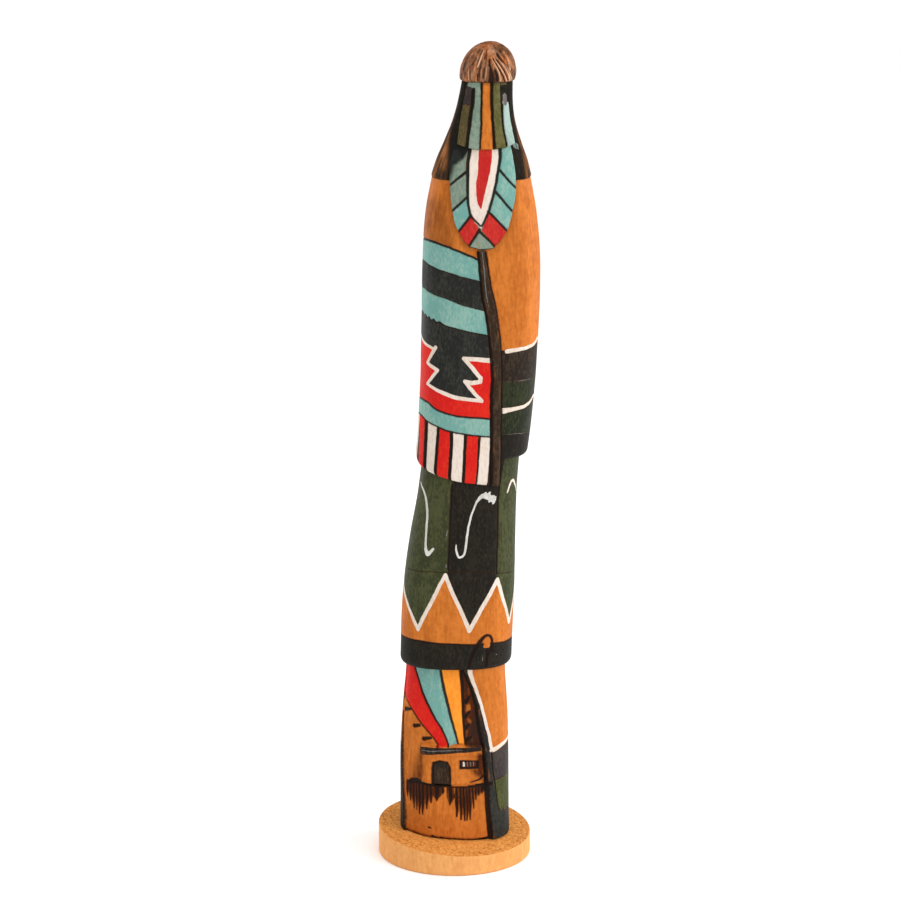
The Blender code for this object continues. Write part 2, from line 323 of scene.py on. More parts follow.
BLANKET_EDGE = (
    (-210, 162.3), (-180, 161.5), (-90, 160.5), (-63, 158.2), (-40, 156.4), (0, 153.3), (30, 151.9),
)
BLANKET_EDGE_RIGHT = 162.3
BORDER_ENDS_AT = 31.0


def smooth(table, at, column=1):
    """The table's column at these values of its first one, on a smooth curve through its rows."""
    rows = np.array(sorted(table), float)
    knots, values = rows[:, 0], rows[:, column]
    slopes = np.empty(len(knots))
    slopes[1:-1] = (values[2:] - values[:-2]) / (knots[2:] - knots[:-2])
    slopes[0] = (values[1] - values[0]) / (knots[1] - knots[0])
    slopes[-1] = (values[-1] - values[-2]) / (knots[-1] - knots[-2])
    at = np.clip(at, knots[0], knots[-1])
    i = np.clip(np.searchsorted(knots, at) - 1, 0, len(knots) - 2)
    span = knots[i + 1] - knots[i]
    t = (at - knots[i]) / span
    low = (2 * t**3 - 3 * t**2 + 1) * values[i] + (t**3 - 2 * t**2 + t) * span * slopes[i]
    high = (3 * t**2 - 2 * t**3) * values[i + 1] + (t**3 - t**2) * span * slopes[i + 1]
    return low + high


def straight(table, at, column=1):
    rows = np.array(sorted(table), float)
    return np.interp(at, rows[:, 0], rows[:, column])


def eased(value, low, high):
    """0 below low, 1 above high, and a smooth step between them."""
    t = np.clip((value - low) / (high - low), 0, 1)
    return t * t * (3 - 2 * t)


def round_power(value):
    return np.sign(value) * np.abs(value) ** (2 / ROUNDNESS)


def on_form(half_width, angle, height):
    """Points of the form in metres, one for each angle and height, where the figure is this wide."""
    turn = np.radians(angle)
    forwards = np.cos(turn)
    depth = half_width * np.where(forwards > 0, smooth(FRONT_DEPTH, height), BACK_DEPTH)
    x = smooth(CENTRE_LINE, height, 1) + half_width * round_power(np.sin(turn))
    y = smooth(CENTRE_LINE, height, 2) - depth * round_power(forwards)
    return np.stack([x, y, height], axis=1) * MM


# How far round a ring of half width 1 each angle lies, from the front.
TURN_STEPS = 2880
TURN = np.linspace(-180, 180, TURN_STEPS + 1)
RING = round_power(np.stack([np.sin(np.radians(TURN)), np.cos(np.radians(TURN))], axis=1)) * (1, RING_DEPTH)
ROUND = np.concatenate([[0], np.cumsum(np.hypot(*np.diff(RING, axis=0).T))])
ROUND -= np.interp(0, TURN, ROUND)
FULL_ROUND = ROUND[-1] - ROUND[0]


def round_at(angle):
    laps = np.floor((np.asarray(angle, float) + 180) / 360)
    return np.interp(angle - 360 * laps, TURN, ROUND) + laps * FULL_ROUND


def blanket_edge(angle):
    """Height of the blanket's lower edge at these angles."""
    parted = np.where(angle > BACK_SEAM, angle - 360, angle)
    return np.where(parted > BORDER_ENDS_AT, BLANKET_EDGE_RIGHT, smooth(BLANKET_EDGE, parted))


def disc_top(x, y):
    """Height of the disc's sloping top."""
    return DISC_TOP + DISC_TOP_SLOPES[0] * x + DISC_TOP_SLOPES[1] * y


def foot_height(half_width, angle):
    """Height of the sloping foot, just over the disc, at this distance from the centre line."""
    turn = np.radians(angle)
    x = straight(CENTRE_LINE, ANKLE, 1) + half_width * round_power(np.sin(turn))
    y = straight(CENTRE_LINE, ANKLE, 2) - FOOT_DEPTH * half_width * round_power(np.cos(turn))
    return disc_top(x, y) + FOOT_GAP


# ---------------------------------------------------------------- rows of the figure, foot to crown
LAP = 0.4  # how far a piece reaches up into the next one


class Row:
    """One ring of the figure: its garment, its height at an angle and how far it is set in."""

    def __init__(self, garment, widths, height_at, inset=0.0, share=1.0):
        self.garment, self.widths, self.height_at = garment, widths, height_at
        self.inset, self.share = inset, share

    def place(self, angle):
        height = self.height_at(angle) + np.zeros(len(angle))
        if callable(self.widths):
            return self.widths(height), height
        return self.share * (smooth(self.widths, height) - self.inset), height


def pole(garment, height):
    """A row drawn in to one point, which closes the end of a piece."""
    return Row(garment, lambda h: 0 * h, level(height))


def level(height):
    return lambda angle: height


def between(low, high, share):
    return lambda angle: low(angle) + share * (high(angle) - low(angle))


def raised(line, by):
    return lambda angle: line(angle) + by


def foot_line(share):
    """The line round the foot, at this share of its half width."""
    half_width = share * (straight(SHAFT, ANKLE) - RECESS)
    return lambda angle: foot_height(half_width, angle)


def shaft_rows():
    """Out over the foot from its centre, round its edge and up to the hem."""
    steps, foot, top = 66, raised(foot_line(1), 0.25), level(HEM_HEIGHT + LAP)
    rows = [Row("shaft", SHAFT, foot_line(share), RECESS, share) for share in (0, 0.3, 0.65, 0.9, 0.985)]
    return rows + [Row("shaft", SHAFT, between(foot, top, i / steps), RECESS) for i in range(steps + 1)]


def rounded_edge(garment, widths, edge, inset, rise):
    """Rows round a garment's lower edge, from its underside out to its full width."""
    rows = []
    for degrees in range(0, 91, 15):
        turn = math.radians(degrees)
        rows.append(Row(garment, widths, raised(edge, rise * (1 - math.cos(turn))),
                        inset * (1 - math.sin(turn))))
    return rows


def rising(garment, widths, low, high, steps):
    """Rows from just over the low line up to the high one."""
    return [Row(garment, widths, between(low, high, i / steps)) for i in range(1, steps + 1)]


def skirt_rows():
    hem, flat = level(HEM_HEIGHT), level(SKIRT_LEVEL_TO)
    rows = rounded_edge("skirt", SKIRT, hem, 1.9, 2.6)
    rows += rising("skirt", SKIRT, raised(hem, 2.6), flat, 56)
    return rows + rising("skirt", SKIRT, flat, raised(blanket_edge, LAP), 6)


def blanket_rows():
    flat = level(BLANKET_LEVEL_FROM)
    rows = rounded_edge("blanket", BLANKET, blanket_edge, 1.5, 2.0)
    rows += rising("blanket", BLANKET, raised(blanket_edge, 2.0), flat, 10)
    return rows + rising("blanket", BLANKET, flat, level(HAIR_ENDS - 0.3), 84)


def hair_rows():
    low, high, steps = level(HAIR_ENDS), level(CAP_RIM), 36
    rows = [Row("hair", HAIR, low, 0.4), Row("hair", HAIR, raised(low, 0.3), 0.1)]
    return rows + [Row("hair", HAIR, between(raised(low, 0.7), high, i / steps)) for i in range(steps + 1)]


def cap_rows():
    """Rounded rim, then a half egg up to the crown."""
    wide = CAP_HALF_WIDTH
    places = [(wide - inset, CAP_RIM + up) for inset, up in ((1.0, 0), (0.45, 0.3), (0.15, 1.0), (0.03, 2.0))]
    for climb in np.radians(np.linspace(0, 90, 25)):
        places.append((wide * math.cos(climb), CAP_WIDEST + (CROWN - CAP_WIDEST) * math.sin(climb)))
    return [Row("cap", lambda h, w=half_width: 0 * h + w, level(height)) for half_width, height in places]


def figure_pieces():
    """The name and rows of each piece. Its ends are closed, and each lies inside the piece next to it."""
    return {
        "lower_shaft_surface": shaft_rows() + [pole("shaft", HEM_HEIGHT + LAP)],
        "skirt_surface": [pole("skirt", HEM_HEIGHT)] + skirt_rows() + [pole("skirt", BLANKET_FOOT + LAP)],
        "blanket_and_head_surface": (
            [pole("blanket", BLANKET_FOOT)] + blanket_rows() + hair_rows() + [pole("hair", HAIR_TOP)]
        ),
        "cap_surface": [pole("cap", CAP_RIM)] + cap_rows(),
    }


# ---------------------------------------------------------------- laying out on the unrolled surface
FAR = 4.0  # distances are worked out this close to a detail
PAST_SEAM = 25  # how far past the parting an outline goes on
WALL = 0.22  # half the width of a raised field's wall
FINISHES = ("burnt", "scorch", "comb", "worn", "grime", "scrape", "glint")  # held like the paints
PAINTS = (
    "turquoise", "sage", "aqua", "yellow", "red", "crimson", "green", "leaf", "olive", "moss", "bottle",
    "umber", "border", "plum", "black", "ink", "slate_and_highlight", "white", "pale",
)


def curved(points):
    """More points on a smooth curve through these places."""
    points = [np.array(point, float) for point in points]
    points = [2 * points[0] - points[1]] + points + [2 * points[-1] - points[-2]]
    made = []
    for a, b, c, d in zip(points, points[1:], points[2:], points[3:]):
        for t in np.arange(5) / 5:
            bend = (2 * a - 5 * b + 4 * c - d) * t**2 + (3 * b - a - 3 * c + d) * t**3
            made.append(0.5 * (2 * b + (c - a) * t + bend))
    return made + [points[-2]]


def from_segment(at, a, b):
    """Where between a and b the nearest point lies, as a share of the way, and how far off it is."""
    step = b - a
    share = np.clip(((at - a) @ step) / max(step @ step, 1e-9), 0, 1)
    return share, np.hypot(*(at - a - share[:, None] * step).T)


def band(upper, lower):
    """The outline between two lines that run the same way."""
    return list(upper) + list(lower)[::-1]


def turned(line, by):
    return [(angle + by, height) for angle, height in line]


class Surface:
    """What is carved, burnt and painted, at every vertex. lay() says which garments come next."""

    def __init__(self, garment, angle, height, half_width, drift):
        self.garment, self.height, self.half_width, self.drift = garment, height, half_width, drift
        self.angle = np.where(angle > BACK_SEAM, angle - 360, angle)
        count = len(angle)
        self.fields = {name: np.full(count, -FAR) for name in PAINTS}
        for name in FINISHES + ("proud", "cut"):
            setattr(self, name, np.zeros(count))
        self.burnt -= FAR
        self.nearest = np.full(count, FAR)

    def lay(self, garments, widths, overlap=0.1):
        """Coats that meet overlap by this much, and where they don't, a thread of bare wood shows."""
        self.overlap, self.open = overlap, 1.0
        self.chosen = np.flatnonzero(np.isin(self.garment, garments))
        self.widths = widths
        self.angle_here, self.height_here = self.angle[self.chosen], self.height[self.chosen]
        self.at = self.flat(np.stack([self.angle_here, self.height_here], axis=1)) + self.drift[self.chosen]

    def flat(self, places):
        places = np.array(places, float)
        return np.stack([round_at(places[:, 0]) * smooth(self.widths, places[:, 1]), places[:, 1]], axis=1)

    def softly(self, outline, low, high):
        """1 inside the outline and 0 outside it, eased between these two distances from it."""
        return eased(self.inside(outline), low, high)

    def near(self, line):
        return np.flatnonzero(((self.at > line.min(0) - FAR) & (self.at < line.max(0) + FAR)).all(axis=1))

    def across_parting(self, places):
        """The places laid flat, where an outline that ends at the parting reaches past it."""
        angle, height = np.array(places, float).T
        angle = np.where(angle <= BACK_SEAM - 360, BACK_SEAM - 360 - PAST_SEAM, angle)
        angle = np.where(angle >= BACK_SEAM, BACK_SEAM + PAST_SEAM, angle)
        return self.flat(np.stack([angle, height], axis=1))

    def along(self, places, widths):
        """Distance inside a line of these widths through the places, and negative outside it."""
        line = self.across_parting(places)
        widths = np.atleast_1d(widths)
        half = np.interp(np.linspace(0, 1, len(line)), np.linspace(0, 1, len(widths)), widths) / 2
        near = self.near(line)
        at, best = self.at[near], np.full(len(near), -FAR)
        for a, b, half_a, half_b in zip(line, line[1:], half, half[1:]):
            share, gap = from_segment(at, a, b)
            best = np.maximum(best, half_a + share * (half_b - half_a) - gap)
        found = np.full(len(self.at), -FAR)
        found[near] = best
        return found

    def inside(self, outline):
        """Distance to the outline through these places, positive inside it."""
        ring = self.across_parting(outline)
        near = self.near(ring)
        at = self.at[near]
        gap, within = np.full(len(near), FAR), np.zeros(len(near), bool)
        for a, b in zip(ring, np.roll(ring, -1, axis=0)):
            gap = np.minimum(gap, from_segment(at, a, b)[1])
            across, up = b - a
            if up:
                crossed = (a[1] > at[:, 1]) != (b[1] > at[:, 1])
                within ^= crossed & (at[:, 0] < a[0] + (at[:, 1] - a[1]) / up * across)
        found = np.full(len(self.at), -FAR)
        found[near] = np.where(within, gap, -gap)
        return found

    def at_least(self, field, amount):
        field[self.chosen] = np.maximum(field[self.chosen], amount)

    def at_most(self, field, amount):
        field[self.chosen] = np.minimum(field[self.chosen], amount)

    def lift(self, amount):
        self.proud[self.chosen] += amount

    def bring_to(self, rise, share):
        """Lift by this share of the way from where the surface is to this rise."""
        self.lift((rise - self.proud[self.chosen]) * share)

    def note(self, amount):
        """Something lies this far away, so the mesh is made finer there."""
        self.at_most(self.nearest, np.abs(amount))

    def paint(self, colour, amount):
        """Paint goes over whatever was there. The amount is the distance inside the painted field."""
        for name, field in self.fields.items():
            if name != colour:
                self.at_most(field, self.overlap - amount)
        if colour != "bare":
            self.at_least(self.fields[colour], amount)
        self.note(amount)

    def patch(self, colour, outline, within=FAR):
        self.paint(colour, np.minimum(self.inside(outline), within))

    def stroke(self, colour, places, widths, thick=0.08):
        amount = self.along(places, widths)
        self.paint(colour, amount)
        self.lift(thick * eased(amount, -0.1, 0.3))

    def clear(self, amount):
        """Lines burnt here before are covered."""
        self.at_most(self.burnt, -amount)
        for stored in (self.cut, self.scorch, self.grime, self.scrape):
            stored[self.chosen] *= 1 - eased(amount, 0, 0.3)

    def fleck(self, colour, places, widths):
        """A thin dry mark that leaves the coat under it: mostly paint, and on the cord's loop a painted
        highlight.
        """
        amount = self.along(places, widths)
        self.at_least(self.fields[colour], amount)
        self.note(amount)

    def groove(self, places, widths=0.7, depth=0.32, burn=True, within=FAR):
        amount = np.minimum(self.along(places, widths), within)
        self.at_least(self.cut, depth * eased(amount, -0.25, np.max(widths) / 2))
        if burn:
            self.at_least(self.burnt, amount)
        self.note(amount)

    def plate(self, outline, rise):
        """A raised field. rise is a number, or one value for each vertex laid out."""
        amount = self.inside(outline)
        share = eased(amount, -WALL, WALL)
        self.bring_to(rise, share)
        self.note(amount)
        self.wear(amount, share)
        return amount

    def wear(self, amount, share):
        """Paint is rubbed thin along a raised edge."""
        self.at_least(self.worn, share * (1 - eased(amount, 0.3, 1.3)))

    def smear_and_shade(self, amount):
        """Dark over the paint: painted shade in hollows and under edges, and dark stain rubbed on."""
        self.at_least(self.grime, amount)

    def shade(self, amount, strength):
        """Painted shade, and the brown of the hot point held near, where self.open lets it show."""
        self.at_least(self.scorch, strength * amount * self.open)

    def singe(self, places, widths):
        """A soft brown mark of the hot point, with a darker thread along its middle."""
        amount = self.along(places, widths)
        self.shade(eased(amount, -0.2, 0.2), 1.7)
        self.groove(places, 0.45 * np.array(widths), 0.3)


# ---------------------------------------------------------------- lower shaft and the robe
WINDOW_LEFT = ((-92, 86), (-90, 78), (-86, 68), (-80, 59), (-74.5, 45), (-71.5, 30), (-67.5, 19), (-65, 11),
               (-64, 4))
ROBE_EDGE = ((5, 86), (8, 78), (16, 71), (22, 64.2), (25.5, 56.5), (29.5, 48), (33, 40), (35.5, 30), (38, 19),
             (40, 9), (40, 3))
STRIP_EDGE = ((9, 84), (12.5, 77), (22, 68.6), (29, 60.4), (34, 52.2), (39.5, 45), (41, 37.6), (47, 28),
              (52, 20.5), (53, 16.3))
HOUSE_WALL = ((-34, 45), (27, 45), (31, 32.4), (-35, 32.4))
HOUSE_ROOF = ((-36, 48.1), (27, 48.4), (27, 44.2), (-36, 44.0))
HOUSE_DOOR = ((-21, 31.8), (-21, 39.3), (-19.5, 41.4), (-12, 42.1), (-5, 41.6), (-3.3, 39.4), (-3, 31.8))
HOUSE_WINDOW = ((4, 42.2), (22, 41.9), (22, 39.0), (4, 39.2))
# The lines between the rays: left of the red, the turquoise and the yellow one, and right of the last.
RAY_EDGES = (
    ((-102, 86), (-96, 74), (-88, 66.6), (-67, 62.8), (-51, 59), (-35, 54.9), (-23, 51.2), (-14, 47.5)),
    ((-66, 82), (-60, 77.5), (-50, 73.0), (-41, 68.8), (-31, 63.9), (-19, 58.3), (-10, 53.4), (-4, 48.0)),
    ((-19, 82), (-15.5, 77.6), (-10.5, 69.8), (-5.5, 63.4), (-2, 57.6), (2.5, 49.0)),
    ((2.5, 82), (3, 77), (4, 70.6), (5, 64.2), (6, 57.6), (8, 49.0)),
)
RAY_TICKS = (((-93, 64.6), (-85, 64.3)), ((-76, 60.2), (-62, 61.0)), ((-52, 54.8), (-42, 55.4)),
             ((-35, 50), (-25, 50.7)), ((9.5, 65.8), (14, 67.8)), ((9.5, 59.6), (14.5, 61.6)),
             ((9.5, 55.0), (13.5, 56.4)), ((10.5, 50.2), (16, 51.6)))
# Where the hollow beside the last ray is scorched and in painted shade: all of it, its deepest parts, and two
# spots left lighter.
RAY_HOLLOW = ((6, 84), (7, 64), (9, 48), (31, 48), (27, 56.5), (23.5, 64.2), (17.5, 71), (9, 79))
DEEP_HOLLOWS = (((13.5, 78), (14.5, 68), (15, 60), (19, 48), (33, 47), (28, 57), (24.5, 64.2), (18, 71.5)),
                ((5, 84), (6, 71), (13, 71), (14, 84)))
LIT_SPOTS = (((9.5, 64.6), (15, 64.8), (17, 62), (10, 61.8)),
             ((12, 58.8), (18, 58.4), (18, 56.2), (13, 56.8)))
# Blades of grass under the house: angle, top, foot and width.
BLADES = (
    (-64.5, 31.5, 25.2, 1.3), (-58, 31.8, 23.8, 1.4), (-52, 31.8, 21.0, 1.5), (-46, 32, 20.6, 1.1),
    (-41, 32, 19.2, 1.6), (-35.5, 31.8, 19.2, 1.5), (-29.5, 31.5, 21.8, 1.3), (-24.5, 31.4, 24.6, 1.3),
    (-17.5, 31.2, 25.8, 2.8), (-11, 30.8, 28.6, 1.2), (-3.2, 30.6, 23.8, 2.5), (1.5, 30.2, 19.2, 1.3),
    (4.8, 30.3, 18.0, 1.1), (8.0, 30.6, 17.6, 1.2), (11, 30.8, 17.6, 1.0), (14.2, 31.2, 17.8, 1.1),
    (18.3, 31.0, 22.4, 0.9), (21.8, 31.2, 25.8, 1.0), (25.5, 31.2, 27.4, 1.1), (30, 31.4, 28.4, 1.8),
    (34, 31.4, 28.8, 1.8),
)
GRASS_SEED = 11
GRASS_SHADE = (((-66, 31.5), (-22, 31.5), (-22, 27.5), (-30, 24), (-44, 22), (-56, 25)),
               ((0, 30.6), (35, 31.4), (33, 29), (18, 26), (13, 20), (5, 20), (1, 23)))


def lay_out_shaft(surface):
    """The robe lies over the shaft, and the scene is carved back inside its opening, less so at its left."""
    surface.lay(["shaft"], SHAFT)
    at_back = (surface.angle_here < -95) | (surface.angle_here > 60)
    robe = np.where(at_back, FAR, -surface.inside(band(WINDOW_LEFT, ROBE_EDGE)))
    share = eased(robe, -0.2, 0.2)
    surface.note(robe)
    shallow = 1.4 * (1 - eased(surface.angle_here, -82, -48))
    surface.lift(RECESS * share + shallow * (1 - share))
    surface.wear(robe, share)
    lay_out_robe(surface)
    # Painted shade along the foot, where it stands on the disc.
    over_foot = surface.height_here - foot_height(straight(SHAFT, ANKLE), surface.angle_here)
    surface.shade(1 - eased(over_foot, 0.2, 1.5), 1.2)
    surface.note(over_foot - 0.6)
    surface.lay(["shaft"], tuple((height, width - RECESS) for height, width in SHAFT))
    surface.open = 1 - share
    lay_out_rays(surface)
    lay_out_house(surface)


def lay_out_robe(surface):
    around = ((88, 48.8), (110, 49), (150, 50))
    surface.patch("red", ((-104, 86), (-104, 70.5), (-96, 68.4), (-88, 66.7), (-80, 65.2), (-76, 64.6),
                          (-76, 86)))
    surface.groove(((-104, 70.5), (-96, 68.4), (-88, 66.7), (-78, 64.9)), 0.4, 0.2)
    surface.patch("black", band(ROBE_EDGE + ((54, 3), (54, 16)), STRIP_EDGE))
    green_top = ((41, 33.2), (52, 33.3), (88, 34), (150, 35))
    surface.patch("plum", band(((36, 45.0), (42, 45.0), (54, 46.0), (75, 47.6)) + around, green_top))
    ragged = ((49, 23.2), (51, 20.2), (54, 22.0), (57, 19.6), (62, 21.4), (66, 19.4), (73, 20.9), (80, 19.6),
              (150, 19))
    surface.patch("leaf", band(green_top, ragged))
    surface.patch("black", ((46, 25), (48, 21.6)) + ragged[1:] + ((150, 3), (41, 3), (41, 14)))
    plum_foot = ((-210, 35), (-150, 34), (-98, 33.8))
    leaf_foot = ((-210, 19), (-170, 21.5), (-130, 20), (-98, 21))
    surface.patch("plum", band(((-210, 50), (-150, 48.6), (-112, 47.4), (-98, 47)), plum_foot))
    surface.patch("leaf", band(plum_foot, leaf_foot))
    surface.patch("black", band(leaf_foot, ((-210, 3), (-98, 3))))
    surface.patch("ink", ((-99, 48), (-76, 47), (-75, 44), (-72, 30), (-68, 19), (-65.5, 11), (-64, 3),
                          (-99, 3)))
    surface.groove(turned(WINDOW_LEFT[3:], -0.4), 0.4, 0.1)
    down_edge = ((13, 79.5), (13.2, 77.6), (15.8, 74.2), (23.5, 67.1), (30.4, 59.7), (35.8, 52.6),
                 (39.4, 46.0))
    surface.stroke("white", down_edge, (2.0, 1.8, 1.5, 1.2, 1.15, 1.15, 1.4))
    surface.stroke("white", ((39.4, 45.9), (44, 46.1), (54, 46.9), (75, 48.3)) + around,
                   (1.9, 1.7, 1.4, 1.2, 1.1, 1.1))
    surface.stroke("white", ((-92, 47.4), (-112, 47.8), (-150, 49), (-210, 50.2)), (0.6, 1.2, 1.4, 1.1))
    surface.groove(((39.5, 45), (41, 37.6), (47, 28), (52, 20.5)), (0.7, 0.8, 0.6))
    surface.groove(((41, 33.2), (50, 33.4), (60, 33.8)), 0.4, 0.2)
    surface.groove(turned(ROBE_EDGE[1:], -1.0), (0.8, 0.9, 0.9, 1.0, 1.2), 0.1)


def lay_out_rays(surface):
    red, turquoise, yellow, last = (curved(line) for line in RAY_EDGES)
    surface.patch("red", band(red, turquoise))
    surface.patch("turquoise", band(turquoise, yellow))
    surface.patch("yellow", band(yellow, last))
    surface.groove(red, (0.4, 0.5, 0.6, 0.5), 0.4)
    surface.groove(turquoise, (0.7, 0.9, 1.1, 0.8, 0.7), 0.4)
    surface.groove(yellow, (1.0, 1.1, 1.2, 1.0, 0.8), 0.4)
    surface.groove(turned(last, 1.5), (1.6, 1.4, 1.1, 0.8), 0.4)
    for tick in RAY_TICKS:
        surface.groove(tick, (1.7, 1.0), 0.45)
    surface.shade(surface.softly(RAY_HOLLOW, -0.9, 0.6), 1.5)
    for deep in DEEP_HOLLOWS:
        surface.shade(surface.softly(deep, -1.4, 0.8), 2.2)
    for lit in LIT_SPOTS:
        surface.scorch[surface.chosen] *= 1 - 0.6 * surface.softly(lit, -0.6, 0.8)
    # Painted shade in the hollow's darkest corners, which stops at the robe's edge.
    corner = ((19, 62), (26, 62), (34, 47), (12, 47), (14, 51))
    surface.smear_and_shade(0.75 * surface.softly(corner, -1.6, 1.2) * surface.open)
    surface.smear_and_shade(0.6 * surface.softly(((8, 84), (8.6, 70), (12, 70), (14, 78)), -1.0, 0.6) * surface.open)


def lay_out_house(surface):
    # Painted shadow beside the house's left wall.
    surface.shade(surface.softly(((-44, 43), (-36, 45), (-36, 32), (-56, 32), (-52, 38)), -2.6, 1.4), 1.0)
    surface.plate(HOUSE_WALL, 1.4)
    surface.plate(HOUSE_ROOF, 2.0)
    for corner in (((26, 50), (40, 50), (40, 30), (30, 30)),
                   ((21, 45), (34, 45), (38, 31), (30, 31.5), (24, 36), (21, 39))):
        surface.shade(surface.softly(corner, -1.2, 0.9), 1.6)
    surface.shade(surface.softly(((13, 38.4), (24, 39), (30, 34), (22, 35)), -1.0, 1.0), 1.2)
    surface.patch("border", HOUSE_DOOR)
    for opening, depth in ((HOUSE_DOOR, 1.1), (HOUSE_WINDOW, 0.8)):
        amount = surface.inside(opening)
        surface.lift(-depth * eased(amount, -0.15, 0.25))
        surface.note(amount)
        surface.shade(eased(amount, -0.1, 0.15), 3.0)
        surface.groove(opening + opening[:1], 0.7, 0.1)
    surface.smear_and_shade(0.7 * surface.softly(((-20, 38.6), (-18, 41.4), (-6, 41.4), (-4, 38.6)), -0.6, 0.6))
    surface.smear_and_shade(0.5 * surface.softly(((-20.4, 39), (-17, 39), (-17, 32), (-20.4, 32)), -0.4, 0.4))
    roof_ends = (-35, 47.3), (-12, 47.5), (4, 47.6), (25, 47.8)
    surface.patch("umber", roof_ends + ((26, 46.2), (4, 45.6), (-12, 44.9), (-34, 44.1)))
    surface.fleck("slate_and_highlight", ((-33, 45.9), (-22, 45.8), (-8, 46.4), (6, 46.7)), (0.2, 0.4, 0.2))
    surface.groove(((-36, 47.8), (-35, 44.5)), 0.6, 0.1)
    surface.stroke("pale", ((7, 41.6), (7.3, 40.0)), (0.6, 0.8), 0.2)
    for bar in (10.5, 13.8, 17.2):
        surface.fleck("slate_and_highlight", ((bar, 41.5), (bar + 0.5, 39.8)), (0.5, 0.35))
    surface.groove(((-61, 31.6), (-55, 32.4), (-46, 32.7), (-38, 32.3), (-28, 32.0)),
                   (1.3, 2.2, 2.2, 1.7, 1.2), 0.3)
    surface.groove(((-30, 31.9), (-18, 31.7), (-5, 31.8)), (1.1, 1.5, 1.0), 0.3)
    surface.singe(((-4, 31.2), (10, 30.9), (20, 31.2), (27, 31.6)), (0.8, 1.0, 1.3, 1.6))
    surface.groove(((22, 32.0), (30, 32.2), (38, 32.3)), (0.7, 1.3, 1.7), 0.25)
    surface.groove(((14, 33.2), (24, 34.2), (31, 36)), (0.3, 0.7, 0.8), 0.2)
    lay_out_grass(surface)
    for angle, height in ((-26, 14.4), (-22, 11.0), (-11.5, 10.4), (1, 9.9)):
        surface.groove(((angle - 1.3, height), (angle + 1.3, height - 0.2)), (0.8, 0.5), 0.3)
    surface.groove(((10, 9.2), (24, 9.2), (38, 9.5)), (0.5, 0.8, 1.0), 0.2)


def lay_out_grass(surface):
    """Blades singed in under the ground line, close enough for the wood between them to brown."""
    lean = np.random.default_rng(GRASS_SEED)
    for field in GRASS_SHADE:
        surface.shade(surface.softly(field, -0.8, 0.6), 0.95)
    for angle, top, foot, width in BLADES:
        middle = angle + lean.uniform(-0.4, 0.4), foot + 0.55 * (top - foot)
        surface.singe(((angle, top), middle, (angle + lean.uniform(-0.5, 0.5), foot)),
                      (1.2 * width, 1.35 * width, 0.5))


# ---------------------------------------------------------------- skirt
ZIGZAG = ((-210, 115), (-182, 96), (-153, 115), (-124, 96), (-96, 115.4), (-61, 104), (-40, 95.0),
          (-12, 117.4), (9, 95.4), (39, 115), (64, 96.4), (92, 115), (121, 96), (150, 115))
HEM_LINE = ((-210, 89.8), (-79, 90), (-40, 90.3), (0, 89.8), (40, 89.4), (77, 89), (150, 89.4))
# White curls, one for each pull of a loaded brush: paint, places and widths.
CURLS = (
    ("pale", ((-74, 151.5), (-62, 149), (-53, 146), (-46, 140.5), (-43, 134.5), (-41, 129), (-39, 126.5)),
     (0.6, 1.0, 1.1, 0.9, 1.1)),
    ("pale", ((-40, 127), (-36, 124.9), (-32, 125.8), (-29, 127)), (1.2, 1.9, 1.2, 1.0)),
    ("pale", ((-5, 129.4), (-4.2, 126.6), (-1.4, 124.2), (1, 125.6), (2, 130), (3, 136), (4.5, 141.5),
              (8, 145.8)),
     (0.4, 0.7, 0.8, 0.8, 0.9, 0.8, 0.7, 0.8)),
    ("pale", ((8, 145.8), (13, 147.9), (19, 148.0), (24, 147.2)), (0.9, 1.5, 2.3, 1.9)),
    ("white", ((50, 148.6), (56, 152.0), (62, 152.6), (70, 150.6), (78, 148.0)), (0.7, 1.0, 1.1, 0.8, 0.5)),
    ("white", ((-128, 148), (-124, 138), (-128, 128), (-134, 126)), (0.6, 1.3, 1.0, 0.5)),
)
# Dabs at the ragged end of the middle curl: angle, height and width.
BRUSH_DABS = ((25, 146.9, 2.2), (27.5, 146.2, 1.5), (20.5, 148.9, 0.8), (16, 148.9, 0.6), (29, 147.2, 0.7),
              (22.5, 146.0, 0.7), (27.5, 145.2, 0.8))
LOOP_KNOT = ((19, 88.4), (25, 88), (28, 85), (27, 81), (14, 81), (15, 85))
LOOP_HOLE = ((24, 88.3), (25.4, 90.2), (28.6, 91.4), (32.0, 90.8), (33.2, 89.0), (31.6, 87.8), (27, 87.8))
SKIRT_GROOVES = (((-16, 152.5), (-13, 136), (-10, 119.5)), ((34, 152), (35, 144), (38, 117.2)))


